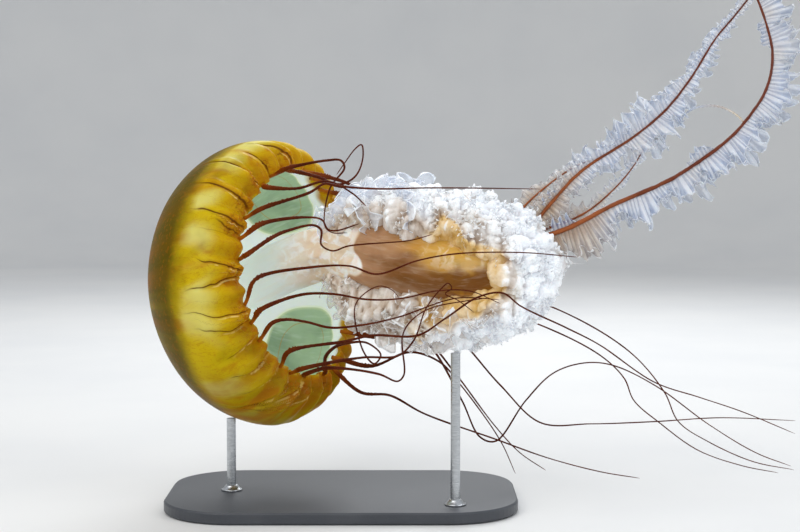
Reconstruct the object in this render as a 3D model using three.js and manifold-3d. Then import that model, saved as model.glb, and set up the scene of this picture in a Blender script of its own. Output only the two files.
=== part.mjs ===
// Sea nettle jellyfish, life size, as a still display model that swims to the left on a small stand.
// Millimetres, +Z up, +X towards the trailing arms, the origin under the middle of the stand's plate.
// The bell has its own frame: an axis from its top to its mouth, and an angle round that axis.
import * as THREE from 'three';
import { mergeVertices } from 'three/addons/utils/BufferGeometryUtils.js';
import Module from 'manifold-3d';

const wasm = await Module();
wasm.setup();

const vec = (x, y, z) => new THREE.Vector3(x, y, z);

// ---- Bell: sizes, and where it sits ----
const BELL_RADIUS = 125; // at its widest
const BELL_DEPTH = 96; // from the top to the widest place
const DOME_STOPS = [0.14, 0.28, 0.42, 0.56, 0.7, 0.85]; // rings of the dome, as shares of its quarter
const CURL_STOPS = [0, 0.3, 0.55, 0.78, 1]; // rings of the margin's outside
const INNER_CURL_STOPS = [1, 0.7, 0.35, 0];
const HOLLOW_STOPS = [0.8, 0.58, 0.36, 0.16];
const BELL_WALL_TOP = 19; // jelly over the stomach
const BELL_WALL_SIDE = 16; // jelly at the widest place
const MOUTH_RADIUS = 98; // outer edge of the margin at the top; the margin curls inward
const LOWER_CURL = 11; // how much further in the margin curls at the bottom
const CURL_START = BELL_DEPTH - 5; // depth where that begins
const MARGIN_DEPTH = 31; // from the widest place to the edge of the margin
const MARGIN_WALL = 4;
const MARGIN_FULLNESS = 2.3; // over 2 makes the curl of the margin squarer
const MARGIN_SADDLE = 3; // the edge reaches further at top and bottom than at the sides
const LAPPETS = 32;
const LAPPET_REACH = 2.6; // half of the step from a notch to a lappet's tip
const LAPPET_SWELL = 2.2; // how far each lappet's rib stands out and each crease goes in
const LAPPET_START = 0.45 * BELL_DEPTH; // depth where the ribs and creases begin
const BELL_STEPS = 2 * LAPPETS; // one at each crease and one at each crest
const BELL_TURN = THREE.MathUtils.degToRad(27); // mouth turned towards the front
const BELL_TILT = THREE.MathUtils.degToRad(8); // mouth tipped up
const MOUTH_DEPTH = 126; // from the bell's top to the point below, along the axis
const MOUTH_CENTRE = vec(-36, 6, 193);

const AXIS = vec(
  Math.cos(BELL_TURN) * Math.cos(BELL_TILT),
  -Math.sin(BELL_TURN) * Math.cos(BELL_TILT),
  Math.sin(BELL_TILT),
);
const UPWARD = vec(0, 0, 1).addScaledVector(AXIS, -AXIS.z).normalize();
const FRONTWARD = vec(0, 0, 0).crossVectors(AXIS, UPWARD);

// ---- Tentacles: 24, three to each eighth of the margin, with a sense organ's notch between threes ----
const NOTCH = (2 * Math.PI) / LAPPETS;
const FIRST_NOTCH = THREE.MathUtils.degToRad(7.5);
const ROOT_CLEARANCE = 3.2; // from the notch's floor to the tentacle's root
const ROOT_SWELL = 1.3; // half widths: the root's ribbon over the thread
const ROOT_TAPER = 40; // the ribbon narrows to a thread over this length
const THREAD_HALF = 0.62; // what the thread narrows by towards its tip
const TIP_HALF = 0.4;
const RIBBON_FLATNESS = 0.62;
const TENTACLE_STEP = 13; // length of a facet
const CUT = 0.4; // gap between neighbouring lengths

// Each route: its notch (0 at the top, counted towards the front and down), how many lengths it is
// divided into, and the points that it passes after its root.
const TENTACLES = [
  { notch: 0, lengths: 1, via: [[-30, -34, 285], [-15, -40, 281], [-3, -42, 276], [8, -40, 279],
    [15, -36, 286], [19, -34, 299], [18, -36, 309], [13, -40, 306], [4, -42, 294], [-3, -39, 284]] },
  { notch: 1, lengths: 2, via: [[-42, -36, 290], [-11, -45, 296], [1, -48, 296], [4, -50, 290],
    [-8, -50, 273], [-12, -58, 242], [-6, -62, 237], [7, -68, 237]] },
  { notch: 2, lengths: 1, via: [[-63, -42, 274], [-35, -52, 273], [-10, -56, 279], [11, -60, 269],
    [22, -68, 259]] },
  { notch: 4, lengths: 2, via: [[-63, -66, 257], [-24, -64, 270], [-12, -61, 277], [1, -62, 275],
    [32, -66, 273], [69, -76, 274], [108, -80, 274], [165, -72, 273]] },
  { notch: 5, lengths: 1, via: [[-62, -76, 245], [-27, -74, 250], [-14, -72, 248], [-9, -70, 240],
    [-2, -70, 239], [17, -78, 245]] },
  { notch: 6, lengths: 2, via: [[-73, -83, 221], [-52, -86, 235], [-40, -86, 240], [-20, -84, 244],
    [-14, -82, 240], [-14, -80, 228], [-5, -80, 223], [8, -82, 227], [59, -104, 233], [76, -110, 238]] },
  { notch: 8, lengths: 2, via: [[-66, -88, 201], [-23, -88, 210], [9, -86, 211], [31, -94, 205],
    [64, -110, 217], [95, -118, 223], [144, -118, 224], [195, -84, 218]] },
  { notch: 9, lengths: 2, via: [[-62, -84, 176], [-29, -88, 188], [-4, -84, 188], [23, -88, 184],
    [51, -102, 186], [80, -112, 193], [106, -116, 193], [130, -116, 183]] },
  { notch: 10, lengths: 2, via: [[-54, -78, 164], [-43, -82, 167], [-27, -80, 165], [-7, -78, 160],
    [17, -80, 162], [48, -94, 170], [95, -111, 187], [129, -111, 186]] },
  { notch: 12, lengths: 3, via: [[-42, -58, 138], [5, -72, 148], [27, -82, 154], [64, -100, 156],
    [86, -114, 171], [112, -122, 189], [131, -120, 192], [146, -113, 181], [185, -90, 161],
    [214, -72, 145], [263, -50, 111], [302, -40, 97], [339, -34, 84], [386, -28, 64]] },
  { notch: 13, lengths: 2, via: [[-31, -44, 122], [-12, -50, 127], [20, -66, 134], [48, -80, 137],
    [61, -93, 151], [71, -117, 180], [82, -122, 195], [88, -124, 200], [91, -122, 196],
    [86, -117, 191], [96, -119, 186], [109, -116, 176]] },
  { notch: 14, lengths: 2, via: [[-30, -36, 116], [-14, -44, 122], [3, -52, 123], [33, -66, 120],
    [48, -72, 115], [53, -74, 120], [52, -97, 155], [60, -111, 170], [75, -119, 180],
    [119, -128, 189]] },
  { notch: 16, lengths: 2, via: [[-14, -8, 116], [-14, -12, 127], [-6, -22, 137], [8, -38, 143],
    [23, -50, 144], [34, -56, 135], [29, -60, 128], [20, -68, 139], [13, -82, 176],
    [21, -94, 189], [34, -102, 196], [44, -107, 193], [50, -108, 186]] },
  { notch: 17, lengths: 2, via: [[16, 24, 92], [41, 20, 90], [71, 20, 74], [134, 8, 53], [178, 2, 38],
    [223, -4, 27], [257, -8, 22]] },
  { notch: 18, lengths: 2, via: [[25, 50, 112], [59, 46, 125], [85, 40, 117], [103, 34, 98],
    [138, 20, 50], [151, 12, 22]] },
  { notch: 20, lengths: 1, via: [[41, 66, 134], [77, 62, 129], [97, 56, 108], [134, 42, 60],
    [156, 34, 37], [179, 28, 22]] },
  { notch: 21, lengths: 2, via: [[41, 82, 154], [77, 80, 127], [106, 72, 78], [122, 64, 46],
    [136, 58, 43], [162, 48, 81], [186, 40, 107], [212, 32, 117], [236, 26, 116], [273, 18, 99],
    [319, 8, 66], [358, 0, 43], [388, -6, 32]] },
  { notch: 22, lengths: 2, via: [[50, 92, 167], [96, 90, 140], [141, 80, 91], [177, 70, 58],
    [221, 56, 59], [277, 44, 63], [333, 34, 68], [398, 24, 67]] },
  { notch: 24, lengths: 2, via: [[50, 98, 185], [105, 96, 167], [178, 86, 145], [231, 72, 119],
    [252, 64, 99], [260, 58, 80], [282, 50, 61], [315, 40, 38], [352, 30, 26], [383, 22, 21]] },
  { notch: 25, lengths: 2, via: [[50, 100, 202], [114, 100, 183], [196, 92, 158], [259, 80, 121],
    [289, 70, 86], [301, 62, 60], [327, 54, 43], [365, 44, 27], [400, 36, 21]] },
  { notch: 26, lengths: 1, via: [[50, 98, 217], [105, 104, 212], [160, 104, 201], [197, 100, 185]] },
  { notch: 28, lengths: 1, via: [[22, 78, 258], [68, 94, 247], [123, 100, 236], [169, 98, 220]] },
  { notch: 29, lengths: 1, via: [[14, 76, 267], [50, 86, 257], [96, 92, 248], [141, 92, 239]] },
  { notch: 30, lengths: 1, via: [[1, 50, 276], [25, 62, 263], [59, 74, 254], [86, 80, 247]] },
];

// ---- Mouth stalk and the bundle of four frilled arms that hangs from it ----
const STALK_DEPTHS = [22, 60]; // the line's first points, on the bell's axis
const TRUNK_VIA = [[-45, 4, 206], [-10, -8, 218], [42, -33, 213], [108, -53, 205], [187, -58, 211]];
const STALK_LENGTH = 138; // from the stalk's foot to where the bundle starts
const STALK_STOPS = [0, 3, 7, 12, 20, 34, 55, 80, 110];
const STALK_RADIUS = 24;
const STALK_FLARE = 22; // what the foot adds to the radius
const STALK_FLARE_LENGTH = 22;
const STALK_CLEARANCE = 5.5; // inside the bell's hollow
const STALK_RIB = 0.1; // four soft ribs, one above each arm
const STALK_SIDES = 16;
const BUNDLE_HALF_HEIGHT = 68;
const BUNDLE_FLATNESS = 0.7; // front to back against height
const BUNDLE_FULLEST = 0.45; // place along the bundle where it is thickest
const BUNDLE_REACH = 0.62;
const BUNDLE_STEPS = 6; // in each of an arm's two lengths there
const LOWER_START = 0.5; // where an arm's second length begins
const BUNDLE_GAP = 0.9; // from the bundle's middle to each arm's inner corner
const FRILL_LUMP = 0.05; // share of the radius
const LUMP_WAVES = [{ round: 6, along: 23 }, { round: 10, along: -37 }];
const QUARTERS = [
  { arm: 1, from: 0 }, // upper front
  { arm: 2, from: 1 }, // lower front
  { arm: 3, from: 2 }, // lower back
  { arm: 4, from: 3 }, // upper back
];
const QUARTER_POINTS = 7;
const SOCKET_GROWTH = 1.8; // the bundle is grown by this where it cuts the long arms' feet

// ---- The two long arms that trail on from the bundle ----
const TRAILS = [
  { arm: 1, half: 13, tip: 5, waves: 7, via: [[160, -50, 241], [177, -44, 261], [203, -32, 287],
    [249, -18, 316], [277, -8, 339], [300, 2, 367], [321, 12, 399], [342, 22, 423], [362, 30, 448],
    [384, 38, 478], [399, 44, 513], [405, 48, 548]] },
  { arm: 2, half: 15, tip: 5, waves: 9, via: [[168, -57, 222], [192, -56, 230], [230, -58, 250],
    [280, -54, 273], [326, -46, 305], [346, -40, 326], [362, -34, 350], [369, -28, 375],
    [368, -22, 398], [352, -10, 446], [333, -6, 473], [308, -4, 499], [281, 0, 514]] },
];
const TRAIL_LENGTHS = 3;
const TRAIL_FLATNESS = 0.55;
const TRAIL_STEP = 15;
const TRAIL_SIDES = 8;
const TRAIL_END = 1.5; // half of the rounded tip's width
const TRAIL_TAPER = 1.5; // over 1 keeps the arm wide for longer
const TRAIL_TIP_ROUNDING = 14; // higher makes the tip blunter
const TRAIL_WAVE = 0.1; // share of the half width

// ---- Stand ----
const PLATE = { length: 300, width: 190, thick: 10, corner: 60, bevel: 1.5 };
const ROD_RADIUS = 4;
const ROD_SIDES = 16;
const BELL_ROD = { x: -96, y: 0, top: 73 };
const ARM_ROD = { x: 96, y: -62, top: 137.3 };
const STAND_GAP = 0.3;

const JELLY = { roughness: 0.35, metalness: 0 };
const FINISHES = {
  bell: { color: 0xc9a012, ...JELLY },
  stalk: { color: 0xe6dcc0, ...JELLY },
  arm: { color: 0xe9e8ee, ...JELLY },
  trail: { color: 0xb9bdd0, ...JELLY },
  tentacle: { color: 0x6e1a10, ...JELLY },
  plate: { color: 0x2a2c30, roughness: 0.4, metalness: 0.1 },
  rod: { color: 0xb8bcc0, roughness: 0.25, metalness: 0.9 },
};

/**
 * One closed body through rings of points, each ring counterclockwise about the way it travels.
 * Each four-cornered facet is split along its shorter diagonal.
 */
function loft(rings) {
  const around = rings[0].length;
  const corners = [];
  const faces = [];
  for (const ring of rings) {
    for (const p of ring) corners.push(p.x, p.y, p.z);
  }
  for (let r = 0; r < rings.length - 1; r++) {
    for (let i = 0; i < around; i++) {
      const j = (i + 1) % around;
      const quad = [r * around + i, r * around + j, (r + 1) * around + j, (r + 1) * around + i];
      const [a, b, c, d] = quad;
      const points = [rings[r][i], rings[r][j], rings[r + 1][j], rings[r + 1][i]];
      const fromFirst = points[0].distanceTo(points[2]) < points[1].distanceTo(points[3]);
      faces.push(...(fromFirst ? [a, b, c, a, c, d] : [a, b, d, b, c, d]));
    }
  }
  const addCap = (start, flip) => {
    const middle = corners.length / 3;
    const ring = rings[start];
    const centre = ring.reduce((sum, p) => sum.add(p), vec(0, 0, 0)).divideScalar(around);
    corners.push(centre.x, centre.y, centre.z);
    for (let i = 0; i < around; i++) {
      const a = start * around + i;
      const b = start * around + ((i + 1) % around);
      faces.push(middle, flip ? b : a, flip ? a : b);
    }
  };
  addCap(0, true);
  addCap(rings.length - 1, false);
  const geometry = new THREE.BufferGeometry();
  geometry.setAttribute('position', new THREE.Float32BufferAttribute(corners, 3));
  geometry.setIndex(faces);
  return geometry;
}

/** A closed geometry as a solid that can be cut. */
function solid(geometry) {
  const merged = mergeVertices(geometry);
  return new wasm.Manifold(new wasm.Mesh({
    numProp: 3,
    vertProperties: new Float32Array(merged.attributes.position.array),
    triVerts: new Uint32Array(merged.index.array),
  }));
}

/** What is left of one closed geometry outside another. */
function cutAway(geometry, tool) {
  const { vertProperties, triVerts } = solid(geometry).subtract(solid(tool)).getMesh();
  const left = new THREE.BufferGeometry();
  left.setAttribute('position', new THREE.BufferAttribute(vertProperties, 3));
  left.setIndex(new THREE.BufferAttribute(triVerts, 1));
  return left;
}

/** A named mesh with its own material. */
function part(name, geometry, finish) {
  const mesh = new THREE.Mesh(geometry, new THREE.MeshStandardMaterial(finish));
  mesh.name = name;
  return mesh;
}

/** The directions across a line at one of its points: upward on the page, then towards the back. */
function across(line, u) {
  const along = line.getTangentAt(u);
  const up = vec(0, 0, 0).crossVectors(along, vec(0, 1, 0)).normalize();
  const back = vec(0, 0, 0).crossVectors(up, along);
  return { up, back };
}

/** The point of the bell's frame at a depth from its top, a radius and an angle round its axis. */
function bellPoint(depth, radius, angle) {
  return MOUTH_CENTRE.clone()
    .addScaledVector(AXIS, depth - MOUTH_DEPTH)
    .addScaledVector(UPWARD, radius * Math.cos(angle))
    .addScaledVector(FRONTWARD, radius * Math.sin(angle));
}

/** The bell's outline from its top round the margin and back up the inside, as [depth, radius]. */
function bellOutline() {
  const outline = [];
  const quarter = Math.PI / 2;
  for (const s of DOME_STOPS) {
    outline.push([BELL_DEPTH * (1 - Math.cos(s * quarter)), BELL_RADIUS * Math.sin(s * quarter)]);
  }
  const curl = (s, outer) => {
    const power = 2 / MARGIN_FULLNESS;
    const wall = outer ? 0 : BELL_WALL_SIDE;
    const inset = outer ? 0 : MARGIN_WALL;
    const lean = Math.cos(s * quarter) ** power;
    const reach = Math.sin(s * quarter) ** power;
    const swell = BELL_RADIUS - wall - (MOUTH_RADIUS - inset);
    return [BELL_DEPTH + (MARGIN_DEPTH - inset / 2) * reach, MOUTH_RADIUS - inset + swell * lean];
  };
  for (const s of CURL_STOPS) outline.push(curl(s, true));
  for (const s of INNER_CURL_STOPS) outline.push(curl(s, false));
  for (const s of HOLLOW_STOPS) {
    const depth = BELL_DEPTH - (BELL_DEPTH - BELL_WALL_TOP) * Math.cos(s * quarter);
    outline.push([depth, (BELL_RADIUS - BELL_WALL_SIDE) * Math.sin(s * quarter)]);
  }
  return outline;
}

/** How strongly the margin's lappets and folds show at a depth: none on the dome, all at the edge. */
function marginShare(depth) {
  return THREE.MathUtils.smoothstep(depth, LAPPET_START, BELL_DEPTH + MARGIN_DEPTH);
}

/** How far the margin is drawn in at a depth and angle: nothing above the widest place or at the top. */
function drawnIn(depth, angle) {
  const share = THREE.MathUtils.smoothstep(depth, CURL_START, BELL_DEPTH + MARGIN_DEPTH);
  return (share * LOWER_CURL * (1 - Math.cos(angle))) / 2;
}

/** How far the edge of the margin reaches beyond a plain round one, at an angle. */
function marginReach(angle) {
  const lappet = -Math.cos(LAPPETS * (angle - FIRST_NOTCH));
  return MARGIN_SADDLE * (Math.cos(2 * angle) + 1) + LAPPET_REACH * (lappet - 1);
}

/** The bell: a thick dome of jelly with a curled, lappeted margin, open below. */
function bell() {
  const outline = bellOutline();
  const rings = outline.map(([depth, radius]) => {
    const share = marginShare(depth);
    const ring = [];
    for (let i = 0; i < BELL_STEPS; i++) {
      const angle = FIRST_NOTCH + (i * 2 * Math.PI) / BELL_STEPS;
      const lappet = -Math.cos(LAPPETS * (angle - FIRST_NOTCH));
      ring.push(bellPoint(
        depth + share * share * marginReach(angle),
        radius + share * LAPPET_SWELL * lappet - drawnIn(depth, angle),
        angle,
      ));
    }
    return ring;
  });
  return part('bell', loft(rings), FINISHES.bell);
}

/** The line through the middle of the mouth stalk and the bundle of arms. */
function trunkLine() {
  return new THREE.CatmullRomCurve3([
    ...STALK_DEPTHS.map((depth) => bellPoint(depth, 0, 0)),
    ...TRUNK_VIA.map((p) => vec(...p)),
  ]);
}

/** The stalk's radius at a length from its foot, kept clear of the bell's hollow. */
function stalkRadius(at) {
  const flared = STALK_RADIUS + STALK_FLARE * Math.exp(-((at / STALK_FLARE_LENGTH) ** 2));
  const depth = Math.min(STALK_DEPTHS[0] + at, BELL_DEPTH);
  const rise = (BELL_DEPTH - depth) / (BELL_DEPTH - BELL_WALL_TOP);
  const hollow = (BELL_RADIUS - BELL_WALL_SIDE) * Math.sqrt(1 - rise * rise);
  return Math.min(flared, hollow - STALK_CLEARANCE);
}

/** The stalk that carries the mouth: a wide foot inside the bell, narrowing to where the arms begin. */
function mouthStalk(line) {
  const whole = line.getLength();
  const rings = [...STALK_STOPS, STALK_LENGTH - CUT].map((at) => {
    const centre = line.getPointAt(at / whole);
    const { up, back } = across(line, at / whole);
    const ring = [];
    for (let k = 0; k < STALK_SIDES; k++) {
      const angle = (k * 2 * Math.PI) / STALK_SIDES;
      const r = (stalkRadius(at) / (1 + STALK_RIB)) * (1 - STALK_RIB * Math.cos(4 * angle));
      ring.push(centre.clone()
        .addScaledVector(up, r * Math.cos(angle))
        .addScaledVector(back, -r * Math.sin(angle)));
    }
    return ring;
  });
  return part('mouth_stalk', loft(rings), FINISHES.stalk);
}

/** Half of the bundle's height at a place along it, from 0 to 1. */
function bundleHalf(u) {
  return BUNDLE_HALF_HEIGHT * (1 - Math.abs((u - BUNDLE_FULLEST) / BUNDLE_REACH) ** 3);
}

/** One quarter of the bundle over part of its length: an arm, folded thickly into frills. */
function bundledArm(line, quarter, start, end) {
  const rings = [];
  const foot = STALK_LENGTH / line.getLength();
  for (let s = 0; s <= BUNDLE_STEPS; s++) {
    const u = start + ((end - start) * s) / BUNDLE_STEPS;
    const onLine = foot + (1 - foot) * u;
    const centre = line.getPointAt(onLine);
    const { up, back } = across(line, onLine);
    const place = (height, depth) => centre.clone()
      .addScaledVector(up, height)
      .addScaledVector(back, depth);
    const turn = (quarter.from * Math.PI) / 2;
    const inner = turn + Math.PI / 4;
    const ring = [place(BUNDLE_GAP * Math.cos(inner), -BUNDLE_GAP * Math.sin(inner))];
    for (let k = 0; k < QUARTER_POINTS; k++) {
      const angle = turn + (k / (QUARTER_POINTS - 1)) * (Math.PI / 2);
      const radius = bundleRadius(u, angle);
      ring.push(place(
        radius * Math.cos(angle) + BUNDLE_GAP * Math.cos(inner),
        -(radius * BUNDLE_FLATNESS * Math.sin(angle) + BUNDLE_GAP * Math.sin(inner)),
      ));
    }
    rings.push(ring);
  }
  return loft(rings);
}

/** Half of the bundle's outline at an angle, with the lumps of the frills. */
function bundleRadius(u, angle) {
  let lump = 0;
  for (const wave of LUMP_WAVES) lump += Math.sin(wave.round * angle + wave.along * u);
  return bundleHalf(u) * (1 + FRILL_LUMP * lump);
}

/** The whole lower bundle, a little grown, to cut the feet of the long arms to its surface. */
function bundleSocket(line) {
  const foot = STALK_LENGTH / line.getLength();
  const rings = [];
  for (let s = 0; s <= BUNDLE_STEPS; s++) {
    const u = LOWER_START + ((1 - LOWER_START) * s) / BUNDLE_STEPS;
    const onLine = foot + (1 - foot) * u;
    const centre = line.getPointAt(onLine);
    if (s === BUNDLE_STEPS) centre.addScaledVector(line.getTangentAt(onLine), CUT);
    const { up, back } = across(line, onLine);
    const sides = 4 * (QUARTER_POINTS - 1);
    const ring = [];
    for (let k = 0; k < sides; k++) {
      const angle = (k * 2 * Math.PI) / sides;
      const radius = bundleRadius(u, angle);
      ring.push(centre.clone()
        .addScaledVector(up, (radius + SOCKET_GROWTH) * Math.cos(angle))
        .addScaledVector(back, -(radius * BUNDLE_FLATNESS + SOCKET_GROWTH) * Math.sin(angle)));
    }
    rings.push(ring);
  }
  return loft(rings);
}

/** The bundle's eight pieces: four arms side by side, each in two lengths. */
function bundledArms(line) {
  const gap = CUT / (line.getLength() - STALK_LENGTH) / 2;
  return QUARTERS.flatMap((quarter) => [
    part(`arm_${quarter.arm}_upper`, bundledArm(line, quarter, 0, LOWER_START - gap), FINISHES.arm),
    part(`arm_${quarter.arm}_lower`, bundledArm(line, quarter, LOWER_START + gap, 1), FINISHES.arm),
  ]);
}

/** Rings round part of a line, with a half height and half depth from a function of length. */
function ringsAlong(line, start, end, steps, sides, halves) {
  const length = line.getLength();
  const rings = [];
  for (let s = 0; s <= steps; s++) {
    const at = start + ((end - start) * s) / steps;
    const u = THREE.MathUtils.clamp(at / length, 0, 1);
    const centre = line.getPointAt(u);
    const { up, back } = across(line, u);
    const ring = [];
    for (let k = 0; k < sides; k++) {
      const angle = (k * 2 * Math.PI) / sides;
      const [height, depth] = halves(at, angle);
      ring.push(centre.clone()
        .addScaledVector(up, height * Math.cos(angle))
        .addScaledVector(back, -depth * Math.sin(angle)));
    }
    rings.push(ring);
  }
  return rings;
}

/** The lengths of one line, as [start, end] with the cut's gap between neighbours. */
function dividedLengths(line, count) {
  const whole = line.getLength();
  return Array.from({ length: count }, (_, i) => [
    (whole * i) / count + (i > 0 ? CUT / 2 : 0),
    (whole * (i + 1)) / count - (i < count - 1 ? CUT / 2 : 0),
  ]);
}

/** A long arm beyond the bundle: a flattened, frilled ribbon that narrows to its tip. */
function trailingArm(trail, socket) {
  const line = new THREE.CatmullRomCurve3(trail.via.map((p) => vec(...p)));
  const whole = line.getLength();
  const halves = (at, angle) => {
    const share = at / whole;
    const narrowing = THREE.MathUtils.lerp(trail.half, trail.tip, share ** TRAIL_TAPER);
    const plain = Math.max(narrowing * Math.sqrt(1 - share ** TRAIL_TIP_ROUNDING), TRAIL_END);
    const wave = 1 + TRAIL_WAVE * Math.sin((trail.waves * 2 * Math.PI * at) / whole + 2 * angle);
    return [plain * wave, plain * TRAIL_FLATNESS];
  };
  return dividedLengths(line, TRAIL_LENGTHS).map(([start, end], i) => {
    const steps = Math.round((end - start) / TRAIL_STEP);
    const length = loft(ringsAlong(line, start, end, steps, TRAIL_SIDES, halves));
    const shape = i === 0 ? cutAway(length, socket) : length;
    return part(`arm_${trail.arm}_trail_${i + 1}`, shape, FINISHES.trail);
  });
}

/** Where a tentacle leaves the margin: just clear of the floor of its notch. */
function tentacleRoot(notch) {
  const angle = FIRST_NOTCH + notch * NOTCH;
  const edge = BELL_DEPTH + MARGIN_DEPTH;
  const radius = MOUTH_RADIUS - MARGIN_WALL / 2 - drawnIn(edge, angle);
  return bellPoint(edge + marginReach(angle) + ROOT_CLEARANCE, radius, angle);
}

/** One tentacle in its lengths: a ribbon at the root, a thread further on. */
function tentacle(route, number) {
  const points = [tentacleRoot(route.notch), ...route.via.map((p) => vec(...p))];
  const line = new THREE.CatmullRomCurve3(points);
  const whole = line.getLength();
  const halves = (at) => {
    const half = TIP_HALF + THREAD_HALF * (1 - at / whole) + ROOT_SWELL * Math.exp(-at / ROOT_TAPER);
    return [half, Math.max(half * RIBBON_FLATNESS, TIP_HALF)];
  };
  return dividedLengths(line, route.lengths).map(([start, end], i) => {
    const steps = Math.round((end - start) / TENTACLE_STEP);
    const name = `tentacle_${String(number).padStart(2, '0')}_${'abc'[i]}`;
    return part(name, loft(ringsAlong(line, start, end, steps, 4, halves)), FINISHES.tentacle);
  });
}

/** The stand's plate: a slab with round corners and a small bevel. */
function standPlate() {
  const { length, width, thick, corner, bevel } = PLATE;
  const x = length / 2 - bevel;
  const y = width / 2 - bevel;
  const outline = new THREE.Shape();
  outline.moveTo(-x + corner, -y);
  outline.lineTo(x - corner, -y);
  outline.absarc(x - corner, -y + corner, corner, -Math.PI / 2, 0);
  outline.lineTo(x, y - corner);
  outline.absarc(x - corner, y - corner, corner, 0, Math.PI / 2);
  outline.lineTo(-x + corner, y);
  outline.absarc(-x + corner, y - corner, corner, Math.PI / 2, Math.PI);
  outline.lineTo(-x, -y + corner);
  outline.absarc(-x + corner, -y + corner, corner, Math.PI, 1.5 * Math.PI);
  const slab = new THREE.ExtrudeGeometry(outline, {
    depth: thick - 2 * bevel,
    bevelThickness: bevel,
    bevelSize: bevel,
    bevelSegments: 1,
    curveSegments: 8,
  });
  slab.translate(0, 0, bevel);
  return part('stand_plate', slab, FINISHES.plate);
}

/** A plain upright rod from the plate to just under what it holds. */
function standRod(name, { x, y, top }) {
  const bottom = PLATE.thick + STAND_GAP;
  const rod = new THREE.CylinderGeometry(ROD_RADIUS, ROD_RADIUS, top - bottom, ROD_SIDES);
  rod.rotateX(Math.PI / 2);
  const mesh = part(name, rod, FINISHES.rod);
  mesh.position.set(x, y, (top + bottom) / 2);
  return mesh;
}

const seaNettle = new THREE.Group();
const trunk = trunkLine();
seaNettle.add(bell(), mouthStalk(trunk), ...bundledArms(trunk));
const socket = bundleSocket(trunk);
for (const trail of TRAILS) seaNettle.add(...trailingArm(trail, socket));
TENTACLES.forEach((route, i) => seaNettle.add(...tentacle(route, i + 1)));
seaNettle.add(standPlate(), standRod('stand_rod_bell', BELL_ROD), standRod('stand_rod_arms', ARM_ROD));

export default seaNettle;
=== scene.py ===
"""Looks of the sea nettle display model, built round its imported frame.

The bell's frame, the trunk's line and the routes of the arms and tentacles repeat the driving
values of the solids, in millimetres. Every surface is worked out from them, and meshes are
written in metres.
"""

import logging
import math
from dataclasses import dataclass
from enum import Enum
from itertools import product
from typing import Any, Sequence

import bpy
import numpy as np
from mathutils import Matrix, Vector


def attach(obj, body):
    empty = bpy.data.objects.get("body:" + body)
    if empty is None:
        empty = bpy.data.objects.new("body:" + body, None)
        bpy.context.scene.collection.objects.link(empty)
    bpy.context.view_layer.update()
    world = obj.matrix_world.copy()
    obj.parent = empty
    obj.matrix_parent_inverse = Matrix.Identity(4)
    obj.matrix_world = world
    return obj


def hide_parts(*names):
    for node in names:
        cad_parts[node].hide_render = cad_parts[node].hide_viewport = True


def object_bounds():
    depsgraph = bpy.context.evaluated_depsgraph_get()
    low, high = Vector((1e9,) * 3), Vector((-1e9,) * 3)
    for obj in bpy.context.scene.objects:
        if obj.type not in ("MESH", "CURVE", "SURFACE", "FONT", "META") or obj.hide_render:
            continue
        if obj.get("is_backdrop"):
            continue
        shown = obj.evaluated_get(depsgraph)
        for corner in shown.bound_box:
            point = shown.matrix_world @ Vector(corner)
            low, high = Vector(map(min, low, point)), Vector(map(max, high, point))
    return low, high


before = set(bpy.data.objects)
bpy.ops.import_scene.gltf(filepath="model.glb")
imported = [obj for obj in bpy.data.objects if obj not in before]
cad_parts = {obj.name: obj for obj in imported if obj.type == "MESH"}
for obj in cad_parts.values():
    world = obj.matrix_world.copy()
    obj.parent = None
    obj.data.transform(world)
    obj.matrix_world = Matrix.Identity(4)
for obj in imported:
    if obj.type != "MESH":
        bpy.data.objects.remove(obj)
CAD_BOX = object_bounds()

LOG = logging.getLogger("sea_nettle")
MM = 0.001
TURN = 2 * math.pi
QUARTER = TURN / 4
SKIN_MAP = "OFBake"

Array = np.ndarray
Material = bpy.types.Material
Socket = bpy.types.NodeSocket
Colour = Place = tuple[float, float, float]
Patch = tuple[float, float, float, float]


class Tone(Enum):
    """The colours of the animal and its stand, as linear red, green and blue."""

    GOLD = (0.46, 0.330, 0.004)
    DEEP_GOLD = (0.38, 0.190, 0.003)
    OLIVE = (0.088, 0.062, 0.001)
    AMBER_CROWN = (0.175, 0.110, 0.003)
    CREAM_GLOW = (0.54, 0.50, 0.14)
    ORANGE_BROWN = (0.29, 0.090, 0.003)
    CREASE_SHADE = (0.085, 0.024, 0.002)
    CREASE_HIGHLIGHT = (0.72, 0.58, 0.20)
    MILK = (0.74, 0.81, 0.80)
    SEA_GREEN = (0.33, 0.47, 0.30)
    SEA_GREEN_DARK = (0.20, 0.30, 0.19)
    WINDOW_EDGE = (0.68, 0.74, 0.46)
    PEACH = (0.40, 0.22, 0.115)
    PALE_PEACH = (0.72, 0.57, 0.41)
    TAN = (0.215, 0.090, 0.030)
    AMBER = (0.50, 0.25, 0.028)
    HONEY = (0.62, 0.38, 0.085)
    AMBER_SHADOW = (0.17, 0.062, 0.008)
    FRILL_WHITE = (0.90, 0.93, 0.96)
    FRILL_SHADE = (0.70, 0.71, 0.75)
    FRILL_BLUE = (0.20, 0.29, 0.50)
    FRILL_CREAM = (0.84, 0.73, 0.55)
    FAWN = (0.36, 0.255, 0.185)
    RIB_TAN = (0.32, 0.085, 0.020)
    RIB_BROWN = (0.15, 0.030, 0.010)
    MAROON = (0.070, 0.008, 0.001)
    ROOT_AMBER = (0.50, 0.15, 0.008)
    RUST = (0.26, 0.050, 0.002)
    SLATE = (0.045, 0.05, 0.06)
    SLATE_LIGHT = (0.075, 0.08, 0.09)
    STEEL = (0.62, 0.64, 0.66)
    STEEL_DARK = (0.40, 0.42, 0.44)
    FLOOR = (0.78, 0.78, 0.77)
    FLOOR_SHADE = (0.73, 0.735, 0.735)


Paint = Tone | Socket


# ---- numbers


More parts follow.
